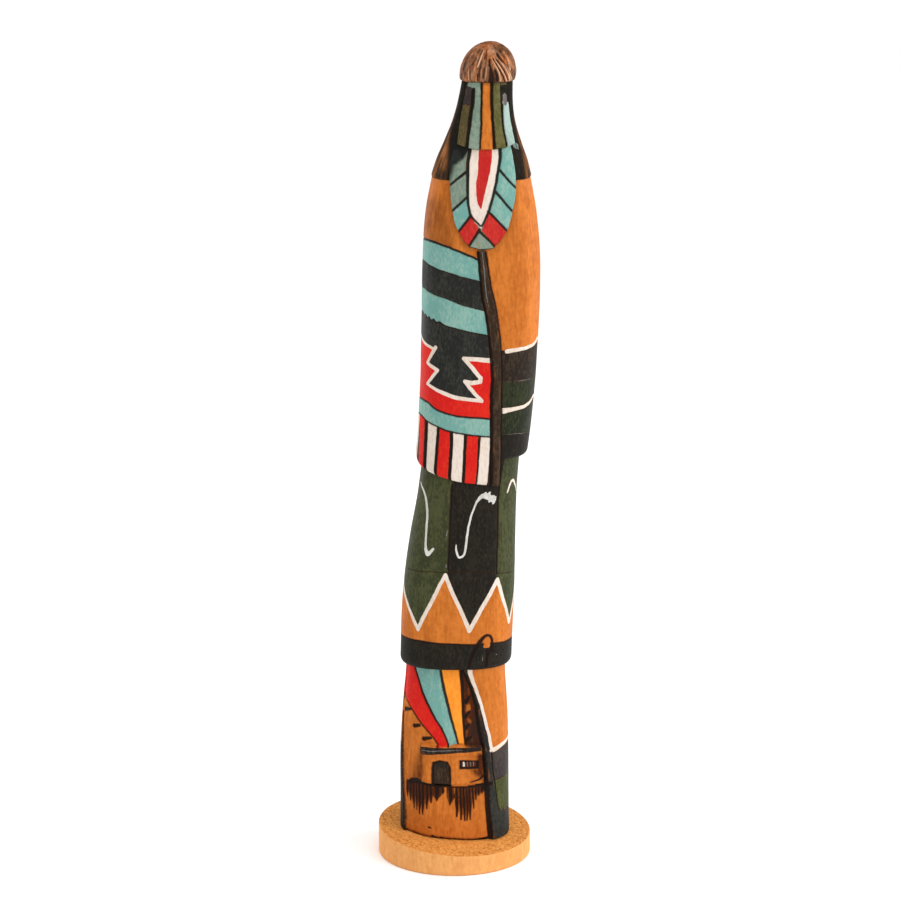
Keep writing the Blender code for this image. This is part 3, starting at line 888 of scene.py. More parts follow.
def lay_out_skirt(surface):
    surface.lay(["skirt"], SKIRT)
    left, right = SKIRT_GROOVES
    surface.paint("green", surface.height_here - HEM_TOP)
    surface.patch("ink", band(((-16, 172),) + left + ((-10, 90),), ((34, 172),) + right + ((38, 90),)))
    surface.patch("bare", ZIGZAG + ((150, 84), (-210, 84)))
    over_zigzag = ((-73, 117.4), (-40, 118.0), (-14, 118.4), (7, 118.6), (38, 117.6), (75, 115.8))
    surface.groove(over_zigzag, 0.3, 0.16)
    surface.stroke("white", ZIGZAG[:6], 1.5)
    surface.stroke("white", ZIGZAG[5:11], (1.3, 1.6, 1.4, 1.7, 1.6, 1.5))
    surface.stroke("white", ZIGZAG[10:], 1.4)
    surface.patch("ink", HEM_LINE + ((150, 74), (-210, 74)))
    surface.groove(HEM_LINE, 0.7, 0.3)
    for groove in (left, right):
        surface.groove(groove, (0.9, 0.8, 0.7), 0.35)
    surface.groove(((-120, 165), (-118, 118)), 0.8, 0.3)
    surface.groove(((95, 165), (96, 118)), 0.8, 0.3)
    surface.fleck("slate_and_highlight", ((-15.2, 134.8), (-15.5, 132.8)), 0.45)
    surface.fleck("slate_and_highlight", ((-12.6, 121.4), (-12.2, 120.4)), 0.5)
    lay_out_brush_marks(surface)
    lay_out_loop(surface)


def lay_out_brush_marks(surface):
    for colour, line, widths in CURLS:
        surface.stroke(colour, curved(line), widths)
    for angle, height, width in BRUSH_DABS:
        surface.stroke("pale", ((angle, height), (angle + 1.5, height + 0.4)), width)


def lay_out_loop(surface):
    """The tied cord end carved over the hem: a loop with its tail, raised between its two legs."""
    surface.lift(0.45 * surface.softly(LOOP_KNOT, -0.3, 0.7))
    hole = surface.inside(LOOP_HOLE)
    surface.clear(hole)
    surface.paint("bare", hole)
    leg = curved(((10, 79.2), (10, 82), (12, 84.6), (14, 86.8), (16.5, 88.4), (19, 90.0), (21.5, 91.2)))
    surface.groove(leg, (1.2, 1.6, 1.7, 1.5, 1.4), 0.55)
    bow = curved(((20.5, 90.2), (23.5, 92.0), (28, 92.9), (32.8, 92.3), (35.4, 90.0), (34.0, 87.6)))
    surface.groove(bow, (1.6, 1.3, 0.9, 1.0, 1.4), 0.5)
    surface.groove(((27, 86.6), (33, 86.6), (39, 86.4)), (1.6, 2.2, 1.0), 0.45)
    surface.groove(((29.6, 86.4), (28.6, 84.0), (28.4, 80.6)), (2.4, 1.7, 1.5), 0.5)
    # A painted highlight on the raised cord between the loop's legs.
    surface.fleck("slate_and_highlight", ((23.6, 85.6), (23.3, 83)), (0.2, 0.35))
    surface.fleck("pale", ((41.8, 84.9), (42.2, 84.7)), 0.35)


# ---------------------------------------------------------------- blanket
SHOULDER_LINE = ((-210, 245), (-120, 245.6), (-81, 245.9), (-65, 246.3), (-48, 245.6), (-30, 244.2),
                 (-6, 241.0), (-2, 240))
FIRST_BAND_ENDS = ((-210, 237), (-120, 237.6), (-72, 237.7), (-30, 234.9), (0, 231.7))
SECOND_BAND = ((-210, 227), (-120, 227.4), (-72, 227.3), (-29, 224.3), (-16, 222.6), (2, 220.6))
SECOND_BAND_ENDS = ((-210, 217.8), (-120, 218), (-75, 217.9), (-71, 216.9), (-67, 217.6), (-63, 216.3),
                    (-59, 217.0), (-55, 215.7), (-50, 216.4), (-46, 215.2), (-41, 215.7), (-36, 214.8),
                    (-10, 212.5), (6, 210.8))
THIRD_BAND = ((-210, 184), (-120, 184.5), (-67, 184.3), (-56, 183.8), (-38, 181.5), (-15, 179.6), (11, 178.5))
THIRD_BAND_ENDS = ((-210, 178.4), (-120, 178.6), (-68, 178.2), (-53, 176.5), (-26, 173.9), (-3, 172.2),
                   (12, 171.5))
STEPPED_TOP = ((-210, 207), (-120, 208.5), (-86, 208.3), (-72, 206.6), (-49, 204.8), (-45, 205.6))
STEPPED_SIDE = ((-45, 205.6), (-60, 199.2), (-41, 196.9), (-58, 191.1), (-38, 189), (-18, 187), (3, 185.8),
                (-10, 193.4), (-4, 192.8), (1, 193.4), (1, 194.8), (-12, 202.2), (8, 201.2))
BORDER_LEFT = ((-3, 250), (-2, 243), (-1, 236), (1, 225), (4, 217), (7, 207), (10, 194), (12, 178), (15, 166),
               (20, 150))
BORDER_RIGHT = ((1, 250), (2, 243), (4, 236), (9, 225), (13, 217), (17, 207), (19, 194), (22, 178), (25, 166),
                (30, 150))
# The fringe: each stripe's left and right edge at its top and at its foot.
FRINGE = (("red", -75, -60, -62, -53), ("white", -53, -39, -51, -36), ("red", -35, -22, -32, -18),
          ("white", -18, -8, -15, -5), ("red", -5, 2, -3, 5), ("white", 4, 12, 6, 16))
# The dark gaps between them: angle at the top, height there, angle at the foot and width.
FRINGE_GAPS = ((-55, 175.6, -49.5, 1.9), (-37, 174.0, -34, 1.7), (-19.5, 172.2, -16.5, 1.5),
               (-6.5, 171.2, -3.5, 1.2), (2.5, 170.8, 6, 0.5))
FRINGE_FOOT = 153.5
STRIPE_STEP, STRIPE_WIDTH, TO_GAP = 15, 12.5, 13.8  # its stripes round the back, in degrees


def lay_out_blanket(surface):
    surface.lay(["blanket"], BLANKET, 0.03)
    surface.patch("black", SHOULDER_LINE + BORDER_LEFT + ((-3, 140), (-210, 140)))
    surface.patch("turquoise", band(SHOULDER_LINE, FIRST_BAND_ENDS))
    surface.patch("turquoise", band(SECOND_BAND, SECOND_BAND_ENDS))
    surface.patch("red", band(STEPPED_TOP + STEPPED_SIDE + ((12, 200),), THIRD_BAND))
    lay_out_fringe(surface)
    surface.stroke("white", STEPPED_TOP, (1.0, 1.1, 1.2))
    surface.stroke("white", STEPPED_SIDE, (1.6, 1.3, 1.4, 1.2, 1.4, 1.5, 1.4, 1.3, 1.6, 1.5, 1.4, 1.4, 1.9))
    lay_out_right_side(surface)
    # Painted shade on the left shoulder, the side away from the light.
    left_shoulder = ((-96, 262), (-40, 262), (-26, 250), (-24, 242), (-96, 244))
    surface.shade(surface.softly(left_shoulder, -2.5, 2.5), 0.6)
    surface.groove(SHOULDER_LINE, (0.7, 0.9, 0.8), 0.45)
    for line, width in ((FIRST_BAND_ENDS, 0.35), (SECOND_BAND, 0.35), (SECOND_BAND_ENDS, 0.5),
                        (THIRD_BAND, 0.75), (THIRD_BAND_ENDS, 0.65)):
        surface.groove(line, width, 0.26)
    lay_out_border(surface)


def lay_out_fringe(surface):
    surface.patch("umber", THIRD_BAND_ENDS + ((20, 171), (22, 140), (-210, 140)))
    for colour, left, right, foot_left, foot_right in FRINGE:
        top_left, top_right = straight(THIRD_BAND_ENDS, (left, right)) + 2
        foot = (foot_right, FRINGE_FOOT - 6), (foot_left, FRINGE_FOOT - 6)
        surface.patch(colour, ((left, top_left), (right, top_right)) + foot)
    for left in range(-75, -205, -STRIPE_STEP):  # round the back the stripes go on, red and white in turn
        colour, end, gap = "white" if left // STRIPE_STEP % 2 else "red", left - STRIPE_WIDTH, left - TO_GAP
        surface.patch(colour, ((end, 180), (left, 180), (left, 150), (end, 150)))
        surface.groove(((gap, 177.5), (gap, 150)), 1.0, 0.3)
    for top, height, foot, width in FRINGE_GAPS:
        surface.groove(((top, height), (foot, FRINGE_FOOT - 4)), (width * 0.7, width * 0.85), 0.42)
    surface.patch("turquoise", band(THIRD_BAND, THIRD_BAND_ENDS))


def lay_out_right_side(surface):
    top = ((16, 205.3), (22, 205.4), (56, 205.4), (71, 206), (110, 207), (150, 207.5))
    foot = ((28, 140), (150, 140))
    surface.patch("ink", band(top, foot))
    surface.patch("umber", band(top, ((20, 192), (150, 192))))
    green_foot = ((24, 172.3), (60, 171.6), (90, 172), (150, 172))
    surface.patch("bottle", band(((20, 192.9), (54, 192.6), (90, 193), (150, 193)), green_foot))
    upper = ((24, 205.0), (32, 205.2), (50, 205.5), (66, 206.2), (76, 207.6), (110, 208), (150, 208))
    surface.stroke("white", upper, (1.6, 1.4, 1.3, 1.2, 0.8))
    lower = ((24, 181.7), (28, 181.9), (37, 182.2), (52, 182.5), (64, 183.3), (76, 185), (110, 186),
             (150, 186))
    surface.stroke("white", lower, (2.1, 1.5, 1.3, 1.1, 0.9))
    for line in (((24, 193), (36, 193.1), (54, 192.8), (66, 193)),
                 ((27, 172.4), (40, 172.2), (51, 171.8), (64, 171.8))):
        surface.groove(line, 0.25, 0.18, burn=False)
        surface.fleck("slate_and_highlight", line, (0.1, 0.28, 0.2))
    down_back = [(BACK_SEAM - 0.4, height) for height in (246, 236, 224, 210, 196, 180, 164, 150)]
    surface.groove(down_back, 0.9, 0.4)


def lay_out_border(surface):
    surface.paint("border", surface.plate(band(BORDER_RIGHT, BORDER_LEFT), 0.9))
    surface.groove(turned(BORDER_LEFT[1:], -0.2), (1.0, 1.0, 1.1, 1.1), 0.5)
    surface.groove(turned(BORDER_RIGHT[1:], -0.2), (0.9, 0.8, 1.0, 1.1), 0.5)
    surface.fleck("slate_and_highlight", ((0, 243), (1, 236), (3.0, 227), (4.4, 222)), (0.3, 0.42, 0.15))


# ---------------------------------------------------------------- chest ornament
CHEST = ((-40, 286), (-39, 277), (-35, 270), (-30, 263.6), (-26, 257.6), (-22, 253), (-18, 250), (-14, 247.4),
         (-8, 245), (-1, 244.2), (7, 244.6), (14, 247.2), (21, 251), (27, 255.8), (33, 261.6), (37, 267),
         (39, 272), (39, 279), (38, 286))
V_LEFT = ((-13, 286), (-12, 280.8), (-11.5, 276), (-10.3, 269.9), (-9, 264.4), (-8, 260.7), (-6, 257),
          (-4, 254.4), (0, 251.9))
V_RIGHT = ((19, 286), (18, 280.8), (17, 277.9), (14, 273.6), (11, 269.2), (7.6, 263.6), (4, 258.1),
           (2, 255.1), (0, 251.9))
CORE_LEFT = ((-3, 286), (-3, 280.9), (-3, 273.6), (-4, 268.8), (-3, 264.4), (-2, 261.4), (0.2, 258.8))
CORE_RIGHT = ((11, 286), (10, 280.8), (9, 277.2), (7, 272.9), (4, 268.1), (2, 263.7), (0.8, 260.3),
              (0.2, 258.8))
FEATHER_LINES = (((-13, 273), (-34, 267.2)), ((-11, 263.6), (-29, 257.2)), ((-7, 257), (-20, 249.8)),
                 ((-1, 251.6), (-10, 244.2)), ((16, 273.7), (38, 265.8)), ((11, 265.9), (31, 257)),
                 ((5, 258.2), (23, 250.2)), ((-1, 251.0), (9, 245.2)))
BLUE_FEATHERS = (((14, 290), (50, 290), (50, 250), (31, 257), (11, 265.9), (12, 272)),
                 ((-11, 263.6), (-29, 257.2), (-40, 253), (-26, 246), (-20, 249.8), (-7, 257)),
                 ((11, 265.9), (31, 257), (38, 253.9), (28, 248), (23, 250.2), (5, 258.2)))
# Where it is darker at its upper left, under the face block's edge, and how softly each part ends.
CHEST_DARKENING = ((((-44, 288), (-15, 288), (-15.5, 280.6), (-20, 277.6), (-27, 275.6), (-44, 273)), 1.0),
                (((-44, 280), (-31, 280), (-32, 273), (-36, 268.6), (-44, 269)), 2.0))
RED_TIPS = (((-7, 257), (-20, 249.8), (-16, 244), (-9, 244.8), (-1, 251.2), (-2.5, 254.4)),
            ((5.5, 258), (23, 250.2), (17, 244), (9.5, 245), (0, 251.2), (2.5, 254.4)))


def lay_out_chest(surface):
    surface.lay(["blanket", "hair"], CHEST_FORM)
    amount = surface.inside(CHEST)
    share = eased(amount, -0.22, 0.25)
    rise = straight(((244.5, 1.5), (284, 0.8)), surface.height_here)
    target = smooth(CHEST_FORM, surface.height_here) + rise - surface.half_width[surface.chosen]
    surface.bring_to(target, share)
    surface.note(amount)
    surface.paint("umber", amount + 0.3)
    surface.paint("sage", amount - 0.05)
    for feather in BLUE_FEATHERS:
        surface.patch("turquoise", feather, amount - 0.05)
    for tip in RED_TIPS:
        surface.patch("crimson", tip, amount - 0.05)
    for line in FEATHER_LINES:
        surface.groove(line, (1.0, 1.15, 0.8), 0.4, within=amount + 0.2)
    for side, shift in ((V_LEFT, -1.6), (V_RIGHT, 1.6)):
        surface.groove(turned(side[:-2], shift) + [(0.2 * shift, 253.0)], (1.4, 1.2, 1.0, 0.8), 0.3)
    surface.patch("white", band(V_LEFT, V_RIGHT))
    surface.patch("crimson", band(CORE_LEFT, CORE_RIGHT))
    # Painted shade round the raised ornament.
    surface.shade(eased(amount, -3.2, -0.2), 0.3)
    surface.stroke("bare", ((-16.6, 280.6), (-14.9, 277), (-14.6, 271)), (0.2, 0.45, 0.2), 0)
    # Darker at its upper left, under the face block's edge.
    for darkened, soft in CHEST_DARKENING:
        surface.smear_and_shade(1.6 * surface.softly(darkened, -soft, 0.6) * eased(amount, -0.4, 0.1))


# ---------------------------------------------------------------- hair, face block and cap
SCRAPED_HAIR = (((-210, 298), (-80, 297), (-74, 287), (-54, 280), (-45, 276), (-43, 268), (-210, 268)),
                ((60, 268), (66, 277), (72, 283), (80, 292), (150, 299), (150, 268)))
STAINED_HAIR = (((-64, 273.4), (-45, 272.8), (-45, 269), (-64, 269)),
                ((-51, 285), (-42, 285), (-41, 268), (-47, 268)))
FACE_FOOT, FACE_LIFT = 281, 2.0  # height of its lower edge, and how much higher that edge is at its ends
FACE_SIDES = (
    ((-46, 306), (-45, 300), (-39, 290), (-33, FACE_FOOT)),
    ((40, 306), (43, 300), (48, 290), (45, FACE_FOOT)),
)
FACE_CENTRE = ((-7.4, 309), (5.5, 309), (7.5, 299), (9.6, 291), (11.2, 278), (-1.2, 278), (-3.4, 290),
               (-5.6, 297.6))
FACE_STRIPES = (
    ("plum", ((-50, 309), (-22, 309), (-20.5, 297.4), (-49, 297.4))),
    ("sage", ((-43, 309), (-10, 309), (-7, 298.6), (-3.5, 291), (-1.2, 278), (-15, 278), (-18, 291),
              (-21.5, 298.5), (-23.6, 302.6), (-30, 303.6), (-41, 303.9))),
    ("olive", ((-50, 297.3), (-22, 297.3), (-19.5, 290), (-16.5, 278), (-38, 278), (-47, 287))),
    ("moss", ((6.5, 309), (8.6, 298), (11.8, 278), (27.8, 278), (27, 290), (24, 300), (21, 309))),
    ("aqua", ((28.4, 299), (29.4, 288), (28.6, 278), (56, 278), (54, 291), (46, 299))),
    ("ink", ((22, 309), (25.5, 303.6), (29.5, 298.4), (50, 297.6), (50, 309))),
    ("moss", ((22, 309), (23.6, 304.2), (40, 304.4), (44, 309))),
    ("slate_and_highlight", ((28.6, 300.6), (33, 301.6), (39, 300.6), (40, 297.6), (37, 296.6), (31, 297.2))),
)
FACE_LINES = (((-24.5, 303), (-21.5, 297.6), (-19.5, 290), (-16.5, 280)),
              ((-9.5, 307), (-5.6, 297.6), (-3.4, 290), (-1.4, 280)),
              ((5.9, 307), (7.9, 299), (10.2, 291), (11.8, 280)), ((28.4, 297), (28.6, 289), (28, 280)))
FACE_LINE_WIDTHS = (1.3, 0.75, 1.1, 0.8)


def lay_out_hair(surface):
    surface.lay(["hair"], HAIR)
    surface.paint("ink", np.full(len(surface.chosen), FAR))
    for side in SCRAPED_HAIR:
        surface.at_least(surface.scrape, surface.softly(side, -1.4, 1.2))
    for edge in STAINED_HAIR:
        surface.smear_and_shade(0.9 * surface.softly(edge, -0.9, 0.9))
    surface.patch("aqua", ((48, 283.2), (58, 282.9), (63, 282.2), (60, 280.2), (52, 280.6), (47, 281.4)))
    lay_out_chest(surface)
    surface.lay(["hair"], HAIR)
    lay_out_face(surface)


def lay_out_face(surface):
    left, right = FACE_SIDES
    along = np.linspace(0, 1, 9)
    angles = left[-1][0] + along * (right[-1][0] - left[-1][0])
    foot = list(zip(angles, FACE_FOOT + FACE_LIFT * (2 * along - 1) ** 2))
    rise = straight(((FACE_FOOT, 2.2), (306, 0.6)), surface.height_here)
    amount = surface.plate(band(list(left[:-1]) + foot, right[:-1]), rise)
    surface.worn[surface.chosen] *= 0.25
    surface.clear(amount)
    surface.paint("ink", amount + 0.4)
    for colour, stripe in (("bare", FACE_CENTRE),) + FACE_STRIPES:
        surface.patch(colour, stripe, amount + 0.4)
    for line, width in zip(FACE_LINES, FACE_LINE_WIDTHS):
        surface.groove(line, (1.1 * width, width, 0.9 * width), 0.35, within=amount)
    # Painted shade on the face just under the cap's rim, deeper towards its right.
    under_rim = eased(surface.height_here, 304.1, 305.2) * eased(amount, -0.1, 0.2)
    surface.smear_and_shade(under_rim * (0.2 + 0.5 * eased(surface.angle_here, -14, 6)))


# The strands cut over the brow: a line down the cap, its width and how pale it is.
CAP_STRANDS = (
    (((-15, 317.6), (-16, 314.4), (-20, 311.4)), 0.9, 1.0),
    (((-22, 315.5), (-25, 313.8), (-27, 310)), 1.0, 0.4),
    (((-43, 310.6), (-40, 308.5), (-39, 306.4)), 0.6, 0.6), (((-58, 308.9), (-56, 306.6)), 0.8, 0.5),
    (((-10, 311.7), (-10, 309), (-10, 306.2)), 0.8, 0.45),
    (((-3, 315), (-2, 312), (-2, 309), (-2.5, 306.2)), 0.8, 0.5),
    (((2, 314.9), (8, 313), (13, 311), (18, 308.7), (22, 306.2)), 0.9, 0.7),
    (((10, 314), (20, 311.3), (28, 308.7), (40, 305.9)), 1.0, 0.95),
    (((19, 313.8), (27, 312), (37, 309.3), (50, 306)), 1.0, 0.85),
    (((28, 312.7), (37, 311), (43, 309.2), (56, 306.2)), 0.9, 0.6),
    (((43, 315.4), (46, 313.4), (46, 310.5)), 1.6, 0.5), (((-33, 312), (-33, 309), (-31, 306.4)), 0.7, 0.35),
)
# The cuts between them, and how deep each goes.
CAP_CUTS = (
    (((-21, 317.2), (-22, 315.2), (-23, 313.4)), 0.7, 0.6), (((-8, 317.6), (-7, 316), (-8, 314.4)), 0.7, 0.6),
    (((0.5, 314), (1, 311.6)), 0.6, 0.8), (((2, 311.5), (4.5, 308.6), (4.6, 305.8)), (0.3, 1.2, 1.9), 1.0),
    (((6, 314.2), (15, 311.3), (23, 308.7), (34, 306)), 0.45, 0.9),
    (((14, 313.8), (24, 310.9), (33, 308.2), (42, 306.3)), 0.45, 0.9),
    (((18, 315.6), (26, 313.4), (35, 311.2), (42, 308.8)), (1.2, 0.7, 0.4), 0.75),
    (((10, 310), (14, 308), (16.5, 306.2)), (0.5, 1.4), 0.85),
    (((-63, 316), (-61, 313), (-62, 310.4)), 0.6, 0.35), (((-18, 308.6), (-17, 306.2)), 0.5, 0.8),
    (((66, 309.4), (73, 306.4)), 1.0, 0.6), (((-49, 309), (-48, 306.4)), 0.4, 0.4),
    (((30, 316.4), (36, 315)), 1.6, 0.5), (((-30, 314.6), (-33, 312)), 0.5, 0.6),
    (((-14, 313), (-15, 310), (-14, 307.6)), 0.5, 0.6), (((-6, 311), (-6, 307)), 0.5, 0.7),
)


def lay_out_cap(surface):
    surface.lay(["cap"], ((300, CAP_HALF_WIDTH), (CROWN, CAP_HALF_WIDTH)))
    surface.scorch[surface.chosen] = 0.35
    for line, width, pale in CAP_STRANDS:
        share = eased(surface.along(line, (0.2, 0.6 * width, 0.75 * width, 0.7 * width)), -0.1, 0.2)
        surface.at_least(surface.glint, pale * share)
        surface.cut[surface.chosen] -= 0.15 * share
    for line, width, deep in CAP_CUTS:
        surface.at_least(surface.comb, deep * eased(surface.along(line, width), -0.3, 0.3))


def comb_strands(surface, points):
    """Locks combed down the hair, and strands that fan out from above the brow over the cap."""
    hair, cap = np.flatnonzero(surface.garment == "hair"), np.flatnonzero(surface.garment == "cap")
    lock, _ = comb_lock(0.13 * surface.angle[hair], surface.height[hair] * 0.05)
    calm = 1 - eased(surface.proud[hair], 0.15, 0.5)
    surface.comb[hair] = lock * calm
    surface.cut[hair] = np.maximum(surface.cut[hair], 0.2 * calm * (1 - lock))
    # The cap's strands part forward of its crown, so it is turned back before its angles are read.
    x, y = (smooth(CENTRE_LINE, CAP_CENTRE_HEIGHT, column) for column in (1, 2))
    over = (points[cap] - (x, y, CAP_WIDEST)) / (CAP_HALF_WIDTH, 0.85 * CAP_HALF_WIDTH, CROWN - CAP_WIDEST)
    lean = math.radians(PARTING_LEAN)
    forward = -over[:, 1] * math.cos(lean) - over[:, 2] * math.sin(lean)
    around, spread = np.arctan2(over[:, 0], forward), np.hypot(over[:, 0], forward)
    lock, fine = comb_lock(5.6 * around, 1.6 * spread)
    fade = eased(noise_at(points[cap], 6.0, 12), -0.45, 0.25)
    left = 1 - eased(surface.angle[cap], -30, -8)
    brow = eased(surface.angle[cap], -75, -50) * (1 - eased(surface.angle[cap], 65, 85))
    over_rim = eased(surface.height[cap], CAP_RIM - 0.5, CAP_RIM + 0.4)
    calm = eased(spread, 0.1, 0.6) * (0.3 + 0.7 * fade) * (1 - (0.55 + 0.25 * left) * brow) * over_rim
    strand = (1 - calm * (1 - lock * (0.75 + 0.25 * fine))) * (1 - surface.comb[cap])
    surface.comb[cap] = strand
    surface.cut[cap] += 0.5 * (1 - strand)
    surface.nearest[cap] = np.minimum(surface.nearest[cap], 0.6 + 3 * (surface.half_width[cap] < 1.2))


def comb_lock(across, along):
    """Locks of uneven width and depth between sharp cuts, and their fine strands. across counts the locks."""
    shift = np.array([noise.noise(Vector((a * 0.9, b, 3.0))) for a, b in zip(across, along)])
    uneven = np.array([noise.noise(Vector((a * 1.3, b * 0.6, 9.0))) for a, b in zip(across, along)])
    lock = eased(np.abs(np.sin(math.pi * (across + SWAY * shift))), 0.0, 0.75)
    fine = eased(np.abs(np.sin(math.pi * (2.7 * across + 2 * SWAY * shift))), 0.0, 0.9)
    return np.clip(lock * (0.85 + 0.7 * uneven), 0, 1), fine


# ---------------------------------------------------------------- the carved figure's mesh
COLUMNS = 112
REFINE_WITHIN = (1.5, 0.62)  # faces this near to a detail are halved, once for each
MERGE_WITHIN = 0.004  # points nearer than this, in mm, become one
SHARP_CARVED, SHARP_SAWN = 50, 55  # edges that turn by more than this stay sharp
LAY_OUT = {
    "shaft": lay_out_shaft, "skirt": lay_out_skirt, "blanket": lay_out_blanket, "hair": lay_out_hair,
    "cap": lay_out_cap,
}


def close_up(shape):
    """Merges the poles, and turns every face outwards."""
    bmesh.ops.remove_doubles(shape, verts=shape.verts[:], dist=MERGE_WITHIN * MM)
    bmesh.ops.recalc_face_normals(shape, faces=shape.faces[:])


def unrolled_tube(rows, columns):
    """A tube of unit radius whose rings lie at whole heights, one for each row."""
    shape = bmesh.new()
    top = len(rows) - 1
    bmesh.ops.create_cone(shape, cap_ends=False, segments=columns, radius1=1, radius2=1, depth=top)
    upright = [edge for edge in shape.edges if abs(edge.verts[0].co.z - edge.verts[1].co.z) > 0.5]
    bmesh.ops.subdivide_edges(shape, edges=upright, cuts=top - 1, use_grid_fill=True)
    bmesh.ops.translate(shape, verts=shape.verts[:], vec=(0, 0, top / 2))
    return shape


def places_of(shape, rows):
    """Each vertex's garment, angle, height and half width."""
    at = np.array([vert.co[:] for vert in shape.verts])
    share = np.degrees(np.arctan2(at[:, 0], -at[:, 1])) / 180 * FULL_ROUND / 2
    angle = np.interp(share, ROUND, TURN)
    row = np.clip(at[:, 2], 0, len(rows) - 1)
    low = np.minimum(np.floor(row + 1e-4).astype(int), len(rows) - 2)
    part = np.clip(row - low, 0, 1)
    half_width, height = np.zeros(len(at)), np.zeros(len(at))
    garment = np.array([place.garment for place in rows])[np.where(part > 0.5, low + 1, low)]
    for i in np.unique(low):
        here = np.flatnonzero(low == i)
        w_low, h_low = rows[i].place(angle[here])
        w_high, h_high = rows[i + 1].place(angle[here])
        half_width[here] = w_low + part[here] * (w_high - w_low)
        height[here] = h_low + part[here] * (h_high - h_low)
    return garment, angle, height, half_width


def noise_at(points, size, seed):
    """Smooth noise in -1..1 at points in mm, with lumps of about this size."""
    shift = Vector((seed * 7.3, seed * 3.1, seed * 5.7))
    return np.array([noise.noise(Vector(point) / size + shift) for point in points])


def dressed_surface(shape, rows):
    """The surface with all its garments laid out. A little drift keeps its lines from being dead straight."""
    garment, angle, height, half_width = places_of(shape, rows)
    points = on_form(half_width, angle, height) / MM
    drift = np.stack([noise_at(points, 9, 1), noise_at(points, 9, 2)], axis=1) * 0.35
    drift += np.stack([noise_at(points, 2.6, 3), noise_at(points, 2.6, 4)], axis=1) * 0.12
    surface = Surface(garment, angle, height, half_width, drift)
    for name, lay_out in LAY_OUT.items():
        if name in garment:
            lay_out(surface)
    comb_strands(surface, points)
    surface.points = points
    return surface


def refine(shape, surface, within):
    """Halves the faces near whatever is carved or painted."""
    near = surface.nearest < within
    shape.verts.index_update()
    chosen = set()
    for face in shape.faces:
        if any(near[vert.index] for vert in face.verts):
            chosen.update(face.edges)
    bmesh.ops.subdivide_edges(shape, edges=list(chosen), cuts=1, use_grid_fill=True)


def knife_work(surface):
    """Shallow facets left by the knife, and the hand-rubbed unevenness of the root."""
    broad = noise_at(surface.points * (1, 1, 0.55), 11, 5) * 0.16
    facets = noise_at(surface.points * (1, 1, 0.4), 3.6, 6) * 0.06
    return broad + facets


def carved_piece(name, rows):
    """One closed piece of the figure, with all that is carved, burnt and painted on it held at its points."""
    shape = unrolled_tube(rows, COLUMNS)
    surface = dressed_surface(shape, rows)
    for within in REFINE_WITHIN:
        refine(shape, surface, within)
        surface = dressed_surface(shape, rows)
    calm = eased(surface.half_width, 0.5, 6.0)
    carved = (surface.proud - surface.cut) * eased(surface.half_width, 0.05, 0.6)
    half_width = surface.half_width + carved + knife_work(surface) * calm
    points = on_form(np.maximum(half_width, 0), surface.angle, surface.height)
    for vert, point in zip(shape.verts, points):
        vert.co = point
    piece = as_object(name, shape)
    finish = {held_as: getattr(surface, held_as) for held_as in FINISHES}
    finish |= {garment: surface.garment == garment for garment in ("hair", "cap")}
    for held_as, values in (surface.fields | finish).items():
        layer = piece.data.attributes.new(held_as, "FLOAT", "POINT")
        layer.data.foreach_set("value", values.astype(np.float32))
    shape = bmesh.new()
    shape.from_mesh(piece.data)
    close_up(shape)
    shape.to_mesh(piece.data)
    shape.free()
    piece.data.shade_smooth()
    piece.data.set_sharp_from_angle(angle=math.radians(SHARP_CARVED))
    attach(piece, "root")
    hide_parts("carved_figure")
    return piece


def carved_figure():
    pieces = [carved_piece(name, rows) for name, rows in figure_pieces().items()]
    paint_figure(pieces[0])
    for piece in pieces[1:]:
        piece.data.materials.append(pieces[0].data.materials[0])


# ---------------------------------------------------------------- finish of the figure
MATT = 0.09  # specular level of the paint and of the bare wood
STAINED_LIGHT, STAINED_DARK = (0.64, 0.193, 0.030), (0.42, 0.108, 0.013)
# A burnt line's black; the brown of scorch, of a burnt line's rim and of painted shade.
BURNT, SCORCH_AND_SHADE_BROWN = (0.009, 0.006, 0.004), (0.070, 0.0125, 0.0008)
CAP_RIDGE, CAP_TINT, CAP_BROWN = (0.40, 0.165, 0.075), (0.44, 0.120, 0.028), (0.15, 0.055, 0.020)
CAP_GROOVE, CAP_GLINT = (0.022, 0.010, 0.006), (0.76, 0.45, 0.27)
HAIR_BLACK, HAIR_TAN = (0.010, 0.006, 0.003), (0.36, 0.135, 0.042)
# Near black of grime rubbed on, and of painted shade.
GRIME_AND_SHADE = (0.012, 0.013, 0.011)
